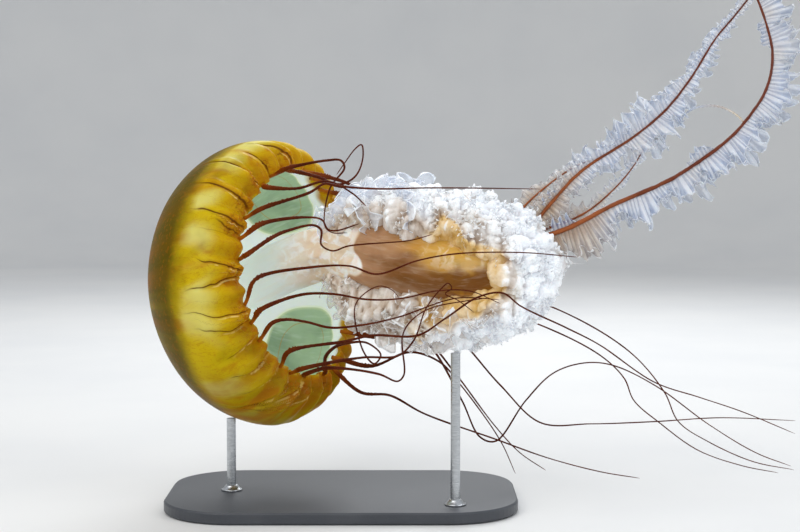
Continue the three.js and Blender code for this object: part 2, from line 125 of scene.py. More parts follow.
def smooth(x: Array, low: float, high: float) -> Array:
    """A soft step of values, from 0 at `low` to 1 at `high`."""
    t = np.clip((x - low) / (high - low), 0.0, 1.0)
    return t * t * (3.0 - 2.0 * t)


def turns(count: int) -> Array:
    """Angles spread evenly over one turn."""
    return np.arange(count) * TURN / count


def grid(rows: Array, columns: Array) -> list[Array]:
    """The values of the rows and of the columns at each point of a grid."""
    return np.meshgrid(rows, columns, indexing="ij")


def unit(vectors: Array) -> Array:
    """Vectors brought to length one."""
    return vectors / np.maximum(np.linalg.norm(vectors, axis=-1, keepdims=True), 1e-9)


class Bumps:
    """Seeded smooth noise in space, from -1 to 1."""

    LATTICE = 32

    def __init__(self, seed: int) -> None:
        """Fills the lattice from a seed."""
        side = (self.LATTICE,) * 3
        self.values = np.random.default_rng(seed).uniform(-1.0, 1.0, side)

    def at(self, points: Array, size: float) -> Array:
        """Noise at points.

        Args:
            points: Places in millimetres, with three numbers in the last axis.
            size: The distance between bumps.

        Returns:
            One number for each point.
        """
        places = points / size
        cell = np.floor(places).astype(int)
        part = places - cell
        part = part * part * (3.0 - 2.0 * part)
        total = np.zeros(points.shape[:-1])
        for corner in product((0, 1), repeat=3):
            weight = np.ones(points.shape[:-1])
            index = []
            for axis, step in enumerate(corner):
                share = part[..., axis]
                weight = weight * (share if step else 1.0 - share)
                index.append((cell[..., axis] + step) % self.LATTICE)
            total += weight * self.values[tuple(index)]
        return total

    def layered(self, points: Array, size: float, layers: int = 3) -> Array:
        """Noise with finer layers added at half strength each."""
        total = sum(0.5**n * self.at(points, size * 0.5**n) for n in range(layers))
        return total / sum(0.5**n for n in range(layers))


class Route:
    """A smooth curve through points, followed by its length in millimetres."""

    STEPS = 60

    def __init__(self, points: Sequence[Sequence[float]]) -> None:
        """Lays the curve that the solids follow, with finely spaced samples.

        Args:
            points: The points that it passes, in millimetres.
        """
        given = np.asarray(points, float)
        ends = (2 * given[0] - given[1], 2 * given[-1] - given[-2])
        held = np.vstack([ends[0], given, ends[1]])
        t = np.linspace(0, 1, self.STEPS, endpoint=False)[:, None]
        pieces = []
        for p0, p1, p2, p3 in zip(held, held[1:], held[2:], held[3:]):
            gaps = [math.sqrt(np.linalg.norm(b - a)) for a, b in ((p0, p1), (p1, p2), (p2, p3))]
            leave = (p1 - p0) / gaps[0] - (p2 - p0) / (gaps[0] + gaps[1]) + (p2 - p1) / gaps[1]
            reach = (p2 - p1) / gaps[1] - (p3 - p1) / (gaps[1] + gaps[2]) + (p3 - p2) / gaps[2]
            leave, reach = leave * gaps[1], reach * gaps[1]
            square = 3 * (p2 - p1) - 2 * leave - reach
            cube = 2 * (p1 - p2) + leave + reach
            pieces.append(p1 + t * leave + t**2 * square + t**3 * cube)
        self.samples = np.vstack([*pieces, given[-1:]])
        steps = np.linalg.norm(np.diff(self.samples, axis=0), axis=1)
        self.marks = np.concatenate([[0.0], np.cumsum(steps)])
        self.length = float(self.marks[-1])

    def at(self, lengths: Array) -> Array:
        """Points along the curve, which runs on straight past its ends.

        Args:
            lengths: Lengths from its start.

        Returns:
            One point for each length.
        """
        inside = np.stack([np.interp(lengths, self.marks, axis) for axis in self.samples.T], -1)
        before = np.minimum(lengths, 0)[..., None] * unit(self.samples[1] - self.samples[0])
        after = np.maximum(lengths - self.length, 0)[..., None]
        return inside + before + after * unit(self.samples[-1] - self.samples[-2])

    def along(self, lengths: Array) -> Array:
        """Directions of travel at lengths along the curve."""
        return unit(self.at(lengths + 0.5) - self.at(lengths - 0.5))

    def across(self, lengths: Array) -> tuple[Array, Array]:
        """The directions across the curve.

        Args:
            lengths: Lengths from its start.

        Returns:
            The upward directions, then those towards the back.
        """
        along = self.along(lengths)
        up = unit(np.cross(along, (0.0, 1.0, 0.0)))
        return up, np.cross(up, along)


# ---- meshes


class Surface:
    """Gathers grids of points into one smooth mesh, with a map and named values at its points."""

    def __init__(self) -> None:
        """Starts with nothing in it."""
        self.points: list[Array] = []
        self.faces: list[Array] = []
        self.corners: list[Array] = []
        self.values: dict[str, list[Array]] = {}
        self.size = 0

    def add(
        self,
        points: Array,
        patch: Patch = (0.0, 0.0, 1.0, 1.0),
        wrap: bool = False,
        **values: Array,
    ) -> None:
        """Adds one grid.

        Args:
            points: Rows and columns of points in millimetres.
            patch: The corners of its place on the map, as left, bottom, right, top.
            wrap: Whether the last column joins the first.
            values: Numbers or vectors at the points, the same names for each grid.
        """
        rows, columns = points.shape[:2]
        index = np.arange(rows * columns).reshape(rows, columns) + self.size
        if wrap:
            index = np.hstack([index, index[:, :1]])
        across = np.linspace(patch[0], patch[2], index.shape[1])
        upward = np.linspace(patch[1], patch[3], rows)
        spots = np.stack(np.meshgrid(across, upward), -1)
        for store, table in ((self.faces, index[..., None]), (self.corners, spots)):
            around = (table[:-1, :-1], table[:-1, 1:], table[1:, 1:], table[1:, :-1])
            store.append(np.stack(around, 2).reshape(-1, table.shape[-1]))
        self.points.append(points.reshape(-1, 3))
        for name, value in values.items():
            full = np.broadcast_to(value, (rows, columns, *np.shape(value)[2:]))
            self.values.setdefault(name, []).append(full.reshape(rows * columns, -1))
        self.size += rows * columns

    def build(self, name: str) -> bpy.types.Object:
        """Writes the mesh.

        Args:
            name: The new object's name.

        Returns:
            The object, linked to the scene.
        """
        mesh = bpy.data.meshes.new(name)
        points = np.vstack(self.points) * MM
        loops = np.vstack(self.faces).ravel()
        mesh.vertices.add(len(points))
        mesh.vertices.foreach_set("co", points.ravel().astype(np.float32))
        mesh.loops.add(len(loops))
        mesh.loops.foreach_set("vertex_index", loops.astype(np.int32))
        mesh.polygons.add(len(loops) // 4)
        mesh.polygons.foreach_set("loop_start", np.arange(0, len(loops), 4, dtype=np.int32))
        layer = mesh.uv_layers.new(name=SKIN_MAP)
        layer.uv.foreach_set("vector", np.vstack(self.corners).ravel().astype(np.float32))
        for key, parts in self.values.items():
            stack = np.vstack(parts).astype(np.float32)
            kind = "FLOAT_VECTOR" if stack.shape[1] == 3 else "FLOAT"
            made = mesh.attributes.new(key, kind, "POINT")
            made.data.foreach_set("vector" if stack.shape[1] == 3 else "value", stack.ravel())
        mesh.update(calc_edges=True)
        mesh.shade_smooth()
        made_object = bpy.data.objects.new(name, mesh)
        bpy.context.scene.collection.objects.link(made_object)
        return made_object


def show(piece: bpy.types.Object, material: Material, nodes: list[str]) -> None:
    """Dresses a piece and ties it to the frame.

    Args:
        piece: The new object.
        material: What it is made of.
        nodes: The solids that it stands for.
    """
    piece.data.materials.append(material)
    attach(piece, "root")
    if nodes:
        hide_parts(*nodes)
    LOG.info("%s: %d faces, stands for %d solids", piece.name, len(piece.data.polygons), len(nodes))


# ---- shading


class Value:
    """A number that a node gives, with arithmetic that adds Math nodes."""

    def __init__(self, shader: "Shader", socket: Socket) -> None:
        """Wraps a socket of one shader."""
        self.shader = shader
        self.socket = socket

    def maths(self, operation: str, *others: "Value | float") -> "Value":
        """One Math node on this value and others."""
        return self.shader.maths(operation, self, *others)

    def __add__(self, other: "Value | float") -> "Value":
        """The sum."""
        return self.maths("ADD", other)

    __radd__ = __add__

    def __sub__(self, other: "Value | float") -> "Value":
        """The difference."""
        return self.maths("SUBTRACT", other)

    def __rsub__(self, other: float) -> "Value":
        """The difference from a number."""
        return self.shader.maths("SUBTRACT", other, self)

    def __mul__(self, other: "Value | float") -> "Value":
        """The product."""
        return self.maths("MULTIPLY", other)

    __rmul__ = __mul__

    def __abs__(self) -> "Value":
        """The size without its sign."""
        return self.maths("ABSOLUTE")

    def least(self, other: "Value | float") -> "Value":
        """The smaller of two."""
        return self.maths("MINIMUM", other)

    def step(self, low: "Value | float", high: "Value | float") -> "Value":
        """A soft step.

        Args:
            low: Where it starts from 0.
            high: Where it reaches 1.

        Returns:
            The step as a value.
        """
        settings = {"interpolation_type": "SMOOTHSTEP"}
        made = self.shader.node(
            "ShaderNodeMapRange", settings, {"Value": self, "From Min": low, "From Max": high}
        )
        return Value(self.shader, made.outputs["Result"])


class Shader:
    """Builds one node material on a Principled shader."""

    def __init__(self, name: str) -> None:
        """Makes an empty material with its shader and output.

        Args:
            name: The material's name.
        """
        self.material = bpy.data.materials.new(name)
        self.material.use_nodes = True
        self.tree = self.material.node_tree
        self.tree.nodes.clear()
        self.surface = self.node("ShaderNodeBsdfPrincipled")
        output = self.node("ShaderNodeOutputMaterial")
        self.tree.links.new(self.surface.outputs["BSDF"], output.inputs["Surface"])

    def node(
        self, kind: str, settings: dict[str, Any] | None = None, sockets: dict | None = None
    ) -> bpy.types.Node:
        """Adds a node.

        Args:
            kind: The node's type.
            settings: Its own properties, such as a Math node's operation, set first.
            sockets: Values or links of its inputs, by name or number.

        Returns:
            The node.
        """
        made = self.tree.nodes.new(kind)
        for key, setting in (settings or {}).items():
            setattr(made, key, setting)
        for key, given in (sockets or {}).items():
            self.feed(made.inputs[key], given)
        return made

    def feed(self, socket: Socket, given: Any) -> None:
        """Feeds a socket.

        Args:
            socket: The input.
            given: A value or socket to link, or a tone, number, vector or colour to set.
        """
        if isinstance(given, Value):
            given = given.socket
        if isinstance(given, Socket):
            self.tree.links.new(given, socket)
        elif isinstance(given, Tone):
            socket.default_value = (*given.value, 1.0)
        else:
            socket.default_value = given

    def maths(self, operation: str, *terms: "Value | float") -> Value:
        """One Math node.

        Args:
            operation: What it works out.
            terms: Up to three terms.

        Returns:
            Its result as a value.
        """
        sockets = dict(enumerate(terms))
        made = self.node("ShaderNodeMath", {"operation": operation}, sockets)
        return Value(self, made.outputs[0])

    def at_point(self, name: str) -> Value:
        """A named number of the mesh."""
        made = self.node("ShaderNodeAttribute", {"attribute_name": name})
        return Value(self, made.outputs["Fac"])

    def place(self, name: str, stretch: Place = (1.0, 1.0, 1.0)) -> Socket:
        """A named vector of the mesh.

        Args:
            name: The vector's name.
            stretch: How far it is stretched along its axes.

        Returns:
            The vector's socket.
        """
        made = self.node("ShaderNodeAttribute", {"attribute_name": name})
        settings = {"operation": "MULTIPLY"}
        sockets = {0: made.outputs["Vector"], 1: stretch}
        return self.node("ShaderNodeVectorMath", settings, sockets).outputs[0]

    def position(self) -> Socket:
        """The object's own coordinates in metres."""
        return self.node("ShaderNodeTexCoord").outputs["Object"]

    def noise(
        self, where: Socket, scale: float, detail: float = 2.0, twist: float = 0.0
    ) -> Value:
        """Noise from 0 to 1, by its bumps for each unit, its finer layers and its own bending."""
        sockets = {"Vector": where, "Scale": scale, "Detail": detail, "Distortion": twist}
        return Value(self, self.node("ShaderNodeTexNoise", None, sockets).outputs[0])

    def mix(
        self, share: Value | float, first: Paint, second: Paint, way: str = "MIX"
    ) -> Socket:
        """A colour between two, by a share from 0 to 1.

        Args:
            share: How much of the second.
            first: A tone or colour socket.
            second: A tone or colour socket.
            way: The Mix node's blend type.

        Returns:
            The colour's socket.
        """
        settings = {"data_type": "RGBA", "blend_type": way, "clamp_factor": True}
        made = self.node("ShaderNodeMix", settings, {0: share, 6: first, 7: second})
        return made.outputs[2]

    def tint(self, amount: Value) -> Socket:
        """A number as a grey colour."""
        made = self.node("ShaderNodeCombineXYZ", None, {0: amount, 1: amount, 2: amount})
        return made.outputs[0]

    def bump(self, height: Value, distance: float, strength: float = 1.0) -> Socket:
        """A bumped normal, from a height and how deep it is in metres."""
        sockets = {"Height": height, "Distance": distance, "Strength": strength}
        return self.node("ShaderNodeBump", None, sockets).outputs[0]

    def finish(self, **sockets: Any) -> Material:
        """Feeds the shader's sockets, named with _ for a space.

        Args:
            sockets: Values, tones, colours or links.

        Returns:
            The finished material.
        """
        for key, given in sockets.items():
            name = key.replace("_", " ").title().replace("Ior", "IOR")
            self.feed(self.surface.inputs[name], given)
        return self.material


# ---- bell


@dataclass(frozen=True)
class BellFrame:
    """Where the bell sits: an axis from its top to its mouth, and an angle round that axis."""

    turn: float = math.radians(27)
    tilt: float = math.radians(8)
    mouth_depth: float = 126.0
    mouth_centre: Place = (-36.0, 6.0, 193.0)

    @property
    def axis(self) -> Array:
        """The direction from the top to the mouth.

        Returns:
            A vector of length one.
        """
        level = math.cos(self.tilt)
        return np.array(
            [math.cos(self.turn) * level, -math.sin(self.turn) * level, math.sin(self.tilt)]
        )

    @property
    def upward(self) -> Array:
        """The direction of angle 0."""
        return unit(np.array([0.0, 0.0, 1.0]) - self.axis * self.axis[2])

    @property
    def frontward(self) -> Array:
        """The direction of a quarter turn."""
        return np.cross(self.axis, self.upward)

    def point(self, depth: Array, radius: Array, angle: Array) -> Array:
        """Points of the bell.

        Args:
            depth: Depths from the top.
            radius: Radii from the axis.
            angle: Angles round the axis.

        Returns:
            The points in millimetres.
        """
        out = self.upward * np.cos(angle)[..., None] + self.frontward * np.sin(angle)[..., None]
        down = (np.asarray(depth) - self.mouth_depth)[..., None] * self.axis
        return np.array(self.mouth_centre) + down + out * np.asarray(radius)[..., None]


@dataclass(frozen=True)
class Crease:
    """One fold of the bell, in notches round its margin.

    It ends at a place on the margin, starts at a station with a bend to one side, and has a
    depth of about 1. It has no bend left where it is settled, and fades out inside the margin.
    """

    end: float
    bend: float
    start: float
    depth: float
    settled: float = 1.95
    opening: float = 0.35
    fade: tuple[float, float] = (2.05, 2.6)

    def path(self, station: Array) -> Array:
        """Where it runs at stations, in notches."""
        left = 1 - np.clip((station - self.start) / (self.settled - self.start), 0, 1)
        return self.end + self.bend * left**1.4

    def strength(self, station: Array) -> Array:
        """How deep it is at stations."""
        opens = smooth(station, self.start, self.start + self.opening)
        return self.depth * opens * (1 - smooth(station, *self.fade))


FRONT_CREASES = (
    Crease(0.9, 0.3, 1.15, 0.8),
    Crease(2.38, -0.50, 0.85, 1.7),
    Crease(3.70, -0.65, 0.84, 1.3),
    Crease(4.65, -0.35, 0.88, 1.2),
    Crease(4.92, -0.30, 1.22, 0.6),
    Crease(5.15, -0.10, 0.95, 0.3),
    Crease(6.58, -0.50, 1.02, 1.2),
    Crease(6.85, 0.40, 0.88, 1.5),
    Crease(8.40, -0.45, 0.84, 1.1),
    Crease(8.95, -0.40, 0.88, 0.9),
    Crease(9.75, 0.20, 1.15, 0.9),
    Crease(11.0, -0.50, 1.05, 1.3),
    Crease(12.0, -0.70, 1.00, 0.9),
    Crease(13.0, -1.10, 0.86, 1.3),
    Crease(13.6, -1.50, 1.02, 0.9),
    Crease(14.1, -2.10, 0.90, 1.5),
    Crease(14.9, -2.80, 0.96, 1.2),
)


@dataclass(frozen=True)
class Bell:
    """The swimming bell: a thick dome with a curled, lappeted margin, and its lining.

    A station runs down the outside and back up the inside: 0 at the top, 1 at the widest
    place, 2 at the edge of the margin, 3 inside the widest place and 4 over the stomach. The
    rows of the skin and lining are stretches of stations, each with its count.
    """

    place: BellFrame = BellFrame()
    radius: float = 125.0
    depth: float = 96.0
    wall_top: float = 19.0
    wall_side: float = 16.0
    mouth_radius: float = 98.0
    margin_depth: float = 31.0
    margin_wall: float = 4.0
    fullness: float = 2.3
    saddle: float = 3.0
    lower_curl: float = 11.0
    curl_start: float = 91.0
    lappets: int = 32
    lappet_reach: float = 2.6
    lappet_swell: float = 0.8
    swell_start: float = 100.0
    first_notch: float = math.radians(7.5)
    root_clearance: float = 3.2
    around: int = 640
    skin_rows: tuple[tuple[float, float, int], ...] = (
        (0.0006, 0.75, 34),
        (0.75, 1.2, 34),
        (1.2, 2.35, 84),
    )
    lining_rows: tuple[tuple[float, float, int], ...] = ((2.35, 3.0, 34), (3.0, 3.985, 66))
    creases: tuple[Crease, ...] = FRONT_CREASES
    plain_from: float = 15.4
    far_creases: int = 13
    far_least: Place = (-1.2, 0.84, 0.4)
    far_most: Place = (0.9, 1.15, 1.4)
    window_first: float = math.radians(50)
    window_half: float = math.radians(25)
    window_depth: float = 72.0
    window_half_depth: float = 27.0
    seed: int = 11

    @property
    def notch(self) -> float:
        """The angle from one notch to the next."""
        return TURN / self.lappets

    def profile(self, station: Array) -> tuple[Array, Array]:
        """The plain outline.

        Args:
            station: Stations along it.

        Returns:
            The depth and the radius at each.
        """
        s = np.asarray(station, float)
        outer = s <= 2.0
        wall = np.where(outer, 0.0, self.wall_side)
        inset = np.where(outer, 0.0, self.margin_wall)
        turned = np.clip(np.where(outer, s - 1.0, 3.0 - s), 0.0, 1.0) * QUARTER
        power = 2.0 / self.fullness
        lean, reach = np.maximum(np.cos(turned), 0) ** power, np.sin(turned) ** power
        swell = self.radius - wall - (self.mouth_radius - inset)
        depth = self.depth + (self.margin_depth - inset / 2) * reach
        radius = self.mouth_radius - inset + swell * lean
        dome = np.clip(s, 0, 1) * QUARTER
        hollow = np.clip(4.0 - s, 0, 1) * QUARTER
        depth = np.where(s < 1, self.depth * (1 - np.cos(dome)), depth)
        radius = np.where(s < 1, self.radius * np.sin(dome), radius)
        inner_depth = self.depth - (self.depth - self.wall_top) * np.cos(hollow)
        inner_radius = (self.radius - self.wall_side) * np.sin(hollow)
        return np.where(s > 3, inner_depth, depth), np.where(s > 3, inner_radius, radius)

    def drawn_in(self, depth: Array, angle: Array) -> Array:
        """How far the margin is drawn in towards the bottom."""
        share = smooth(depth, self.curl_start, self.depth + self.margin_depth)
        return share * self.lower_curl * (1 - np.cos(angle)) / 2

    def lappet_wave(self, angle: Array) -> Array:
        """From -1 in the notches to 1 on the lappets."""
        return -np.cos(self.lappets * (angle - self.first_notch))

    def margin_reach(self, angle: Array) -> Array:
        """How far the edge reaches beyond a plain round one."""
        lappet = self.lappet_reach * (self.lappet_wave(angle) - 1)
        return self.saddle * (np.cos(2 * angle) + 1) + lappet

    def root(self, notch: int) -> Array:
        """Where a tentacle leaves the margin: just clear of the floor of its notch.

        Args:
            notch: The notch's number.

        Returns:
            The point in millimetres.
        """
        angle = np.array(self.first_notch + notch * self.notch)
        edge = self.depth + self.margin_depth
        radius = self.mouth_radius - self.margin_wall / 2 - self.drawn_in(np.array(edge), angle)
        depth = edge + self.margin_reach(angle) + self.root_clearance
        return self.place.point(depth, radius, angle)

    def all_creases(self) -> list[Crease]:
        """The creases of the near side, and others like them round the far side.

        Returns:
            All of the creases.
        """
        rng = np.random.default_rng(self.seed)
        others = []
        for end in np.sort(rng.uniform(self.plain_from, self.lappets + 0.4, self.far_creases)):
            bend, start, depth = rng.uniform(self.far_least, self.far_most)
            others.append(Crease(float(end), bend, start, depth))
        return [*self.creases, *others]

    def folds(
        self, station: Array, angle: Array, local: Array, radius: Array
    ) -> dict[str, Array]:
        """How the creases shape and shade the surface.

        Args:
            station: Stations of the points.
            angle: Angles of the points.
            local: The points in the bell's own axes.
            radius: Radii of the points.

        Returns:
            The way to the nearest crease in millimetres, its strength, the folds' height, their
            shade and how crumpled the surface is.
        """
        wander = 0.22 * Bumps(self.seed + 1).layered(local, 24.0, 3)
        wander = wander * (1 - smooth(station, 1.5, 1.95))
        spot = (angle - self.first_notch) / self.notch + wander
        shape = station.shape
        away, amount = np.full(shape, 60.0), np.zeros(shape)
        height, shade, crumple = np.zeros(shape), np.zeros(shape), np.zeros(shape)
        half = self.lappets / 2
        for crease in self.all_creases():
            gap = (spot - crease.path(station) + half) % self.lappets - half
            here = gap * self.notch * np.maximum(radius, 20.0)
            power = crease.strength(station)
            closer = (np.abs(here) < np.abs(away)) & (power > 0.02)
            away = np.where(closer, here, away)
            amount = np.where(closer, power, amount)
            overlap = 1.1 * np.exp(-(((here + 3.2) / 3.4) ** 2))
            groove = 1.5 * np.exp(-(((here - 0.7) / 1.5) ** 2))
            height += power * (overlap - groove + 0.4 * np.exp(-(((here - 5.5) / 3.5) ** 2)))
            # Painted shade beside each crease, which the finish paints orange-brown.
            shade += power * np.exp(-np.abs(here - 1.0) / 4.0) * smooth(station, 0.95, 1.7)
            end = np.exp(-(((station - 1.80) / 0.17) ** 2) - (here / 8.0) ** 2)
            crumple += crease.depth * end
        names = ("away", "amount", "height", "shade", "crumple")
        return dict(zip(names, (away, amount, height, shade, crumple)))

    def windows(self, depth: Array, angle: Array) -> Array:
        """How far inside one of the four thin windows the lining is.

        Args:
            depth: Depths of its points.
            angle: Angles of its points.

        Returns:
            1 at a window's middle, below 0 outside.
        """
        offset = (angle - self.window_first + QUARTER / 2) % QUARTER - QUARTER / 2
        power = 2.8
        wide = np.abs(offset / self.window_half) ** power
        deep = np.abs((depth - self.window_depth) / self.window_half_depth) ** power
        return 1 - (wide + deep) ** (1 / power)

    def relief(
        self,
        station: Array,
        angle: Array,
        depth: Array,
        local: Array,
        folds: dict[str, Array],
    ) -> Array:
        """How far the living surface stands out of the plain one.

        Args:
            station: Stations of the points.
            angle: Angles of the points.
            depth: Depths of the points.
            local: The points in the bell's own axes.
            folds: What the creases do there.

        Returns:
            Heights in millimetres.
        """
        noise = Bumps(self.seed + 2)
        drawn = local * np.array([1.0, 1.0, 0.32])
        margin = smooth(station, 1.15, 1.8) * (1 - smooth(station, 2.2, 2.9))
        share = smooth(depth, self.swell_start, self.depth + self.margin_depth)
        rib = share * self.lappet_swell * self.lappet_wave(angle)
        wrinkle = margin * 0.8 * ((1 - np.abs(noise.at(drawn, 11.0))) ** 2 - 0.45)
        pillow = smooth(station, 0.75, 1.2) * (1 - smooth(station, 1.9, 2.4)) * 2.4
        pillow = pillow * noise.layered(drawn, 40.0, 2)
        ridges = (1 - 2 * np.abs(noise.layered(local + 57.0, 7.0, 3))) ** 2 - 0.3
        crumple = np.minimum(folds["crumple"], 1.6) * 1.9 * ridges
        dent = np.where(station > 2.4, -1.3 * smooth(self.windows(depth, angle), -0.02, 0.14), 0)
        soft = 0.7 * noise.at(local, 62.0)
        out = rib + folds["height"] + wrinkle + pillow + crumple + dent + soft - 0.9
        return np.where(station > 2, -out * np.where(station > 2.6, 0.4, 0.6), out)

    def surface(self, stations: Array) -> Surface:
        """The bell's surface, with what its finish reads.

        Args:
            stations: The stations of its rows.

        Returns:
            The surface.
        """
        s, a = grid(stations, turns(self.around))
        depth, radius = self.profile(s)
        step = 0.004
        ahead, wider = self.profile(np.minimum(s + step, 3.999))
        behind, narrower = self.profile(np.maximum(s - step, 0.001))
        fall, spread = ahead - behind, wider - narrower
        size = np.hypot(fall, spread)
        local = np.stack([radius * np.cos(a), radius * np.sin(a), depth], -1)
        folds = self.folds(s, a, local, radius)
        height = self.relief(s, a, depth, local, folds)
        share = smooth(depth, 0.45 * self.depth, self.depth + self.margin_depth)
        out_depth = depth + share**4 * self.margin_reach(a) - height * spread / size
        out_radius = radius - self.drawn_in(depth, a) + height * fall / size
        sweep = np.stack([self.radius * np.cos(a), self.radius * np.sin(a), 30.0 * s], -1)
        values = {
            "station": s,
            "side": np.cos(a),
            "away": folds["away"],
            "amount": folds["amount"],
            "shade": folds["shade"],
            "crumple": folds["crumple"],
            "petal": np.cos(4 * (a - self.window_first)),
            "window": self.windows(depth, a),
            "local": local * MM,
            "sweep": sweep * MM,
        }
        flipped = {name: value[:, ::-1] for name, value in values.items()}
        made = Surface()
        made.add(self.place.point(out_depth, out_radius, a)[:, ::-1], wrap=True, **flipped)
        return made

    def build(self) -> None:
        """Makes the outer skin and the lining in one finish, so that no seam shows."""
        material = BellFinish().material()
        for name, stretches in (("bell_skin", self.skin_rows), ("bell_lining", self.lining_rows)):
            *before, last = stretches
            rows = [np.linspace(*stretch, endpoint=False) for stretch in before]
            stations = np.concatenate([*rows, np.linspace(*last)])
            show(self.surface(stations).build(name), material, ["bell"])


@dataclass(frozen=True)
class BellFinish:
    """Glossy golden jelly with a painted glow by emission: olive dome, painted cream glow on the
    pillows, painted brown shade in the folds and a milky, windowed lining.
    """

    name: str = "bell_jelly_look"
    ior: float = 1.10
    dome_edge: float = 0.885
    dome_lean: float = 0.10
    roughness: float = 0.42
    outer_glow: float = 0.24
    inner_glow: float = 0.34
    petal_share: float = 0.22
    cream_glow_share: float = 0.85
    fold_shade_share: float = 0.55
    crease_shade_share: float = 0.9
    rim_place: float = 2.02
    milk_from: tuple[float, float] = (2.62, 2.86)

    def material(self) -> Material:
        """Builds the node material.

        Returns:
            The material.
        """
        shader = Shader(self.name)
        station = shader.at_point("station")
        cloud = shader.noise(shader.place("local"), 26.0, 3.0, 0.3)
        grain = shader.noise(shader.place("local"), 520.0, 2.0)
        streak = shader.noise(shader.place("sweep"), 210.0, 4.0, 0.5)
        soft = station + (cloud - 0.5) * 0.14
        edge = shader.at_point("side") * self.dome_lean + self.dome_edge
        colour = self.outside(shader, soft, edge, cloud, streak)
        colour = self.folds(shader, colour, station, streak, grain)
        colour = self.inside(shader, colour, station, cloud, streak)
        # Painted light: the jelly glows by emission as if lit from within, most on the lining and
        # least on the dome's band.
        deep = station.step(2.0, 2.7)
        outer = (soft.step(edge - 0.05, edge + 0.12) * 0.75 + 0.25) * self.outer_glow
        glow = (outer * (1 - deep) + deep * self.inner_glow) * (0.7 + cloud * 0.6)
        relief = streak * 0.5 + grain * 0.3 + shader.noise(shader.place("local"), 1500.0) * 0.12
        return shader.finish(
            base_color=colour,
            roughness=self.roughness + (grain - 0.5) * 0.22 + (cloud - 0.5) * 0.12,
            ior=self.ior,
            coat_weight=0.03,
            coat_roughness=0.15,
            subsurface_weight=0.5,
            subsurface_radius=(0.012, 0.009, 0.002),
            subsurface_scale=1.0,
            emission_color=shader.mix(1.0, colour, shader.tint(glow), "MULTIPLY"),
            emission_strength=1.0,
            normal=shader.bump(relief, 0.0008, 0.5),
        )

    def outside(
        self, shader: Shader, soft: Value, edge: Value, cloud: Value, streak: Value
    ) -> Paint:
        """The dome's olive band, the painted cream glow beside it and the gold below, painted darker
        on the underside.

        Args:
            shader: The material's builder.
            soft: The station, a little clouded.
            edge: The station where the dome's band ends.
            cloud: Broad noise.
            streak: Noise drawn out towards the margin.

        Returns:
            The colour's socket.
        """
        crown = shader.mix(1 - soft.step(0.25, 0.70), Tone.OLIVE, Tone.AMBER_CROWN)
        petal = shader.at_point("petal") + (cloud - 0.5) * 1.6
        petals = petal.step(-0.5, 1.1) * (1 - soft.step(0.22, 0.52)) * soft.step(0.02, 0.22)
        crown = shader.mix(petals * self.petal_share, crown, Tone.CREAM_GLOW)
        rays = shader.noise(shader.place("sweep", (1.0, 1.0, 0.08)), 46.0, 2.0)
        between = soft.step(0.14, 0.40) * (1 - soft.step(0.50, 0.80) * 0.75)
        crown = shader.mix(rays.step(0.46, 0.66) * between * 0.45, crown, Tone.ORANGE_BROWN)
        crown = shader.mix((1 - rays).step(0.50, 0.70) * between * 0.35, crown, Tone.GOLD)
        warts = shader.noise(shader.place("local"), 300.0, 1.0)
        crown = shader.mix(warts.step(0.56, 0.68) * 0.40, crown, Tone.ORANGE_BROWN)
        crown = shader.mix(streak.step(0.45, 0.75) * 0.25, crown, Tone.AMBER_CROWN)
        # Painted light: cream glow patches beside the dome's band, as if light shone through the
        # jelly, weaker on the underside and in the folds' painted shade.
        pale = shader.noise(shader.place("sweep"), 30.0, 1.0, 0.2)
        glow = soft.step(edge, edge + 0.09) * (1 - soft.step(edge + 0.22, edge + 0.62))
        under = (0 - shader.at_point("side")).step(0.55, 0.9)
        shaded = shader.at_point("shade").step(0.05, 0.7)
        glow = glow * pale.step(0.45, 0.65) * (1 - under * 0.5) * (1 - shaded * 0.75)
        gold = shader.mix(soft.step(1.25, 1.9) * 0.75, Tone.GOLD, Tone.DEEP_GOLD)
        warm = shader.noise(shader.place("sweep"), 52.0, 4.0, 0.8)
        gold = shader.mix(warm.step(0.48, 0.66) * 0.75, gold, Tone.DEEP_GOLD)
        gold = shader.mix(warm.step(0.58, 0.74) * 0.60, gold, Tone.ORANGE_BROWN)
        fleck = shader.noise(shader.place("local"), 330.0, 3.0)
        gold = shader.mix(fleck.step(0.54, 0.72) * 0.35, gold, Tone.DEEP_GOLD)
        thread = 1 - abs(streak - 0.5).step(0.004, 0.020)
        gold = shader.mix(thread * 0.35, gold, Tone.ORANGE_BROWN)
        gold = shader.mix(glow * self.cream_glow_share, gold, Tone.CREAM_GLOW)
        # Painted shade: the lower side of the bell is darker, in amber and orange-brown.
        lower = (0 - shader.at_point("side") + (cloud - 0.5) * 0.5).step(0.40, 0.95)
        gold = shader.mix(lower * 0.6, gold, Tone.AMBER_CROWN)
        gold = shader.mix(lower * warm.step(0.42, 0.62) * 0.6, gold, Tone.ORANGE_BROWN)
        gold = shader.mix((1 - cloud).step(0.52, 0.7) * 0.30, gold, Tone.OLIVE)
        return shader.mix(1 - soft.step(edge - 0.08, edge + 0.08), gold, crown)

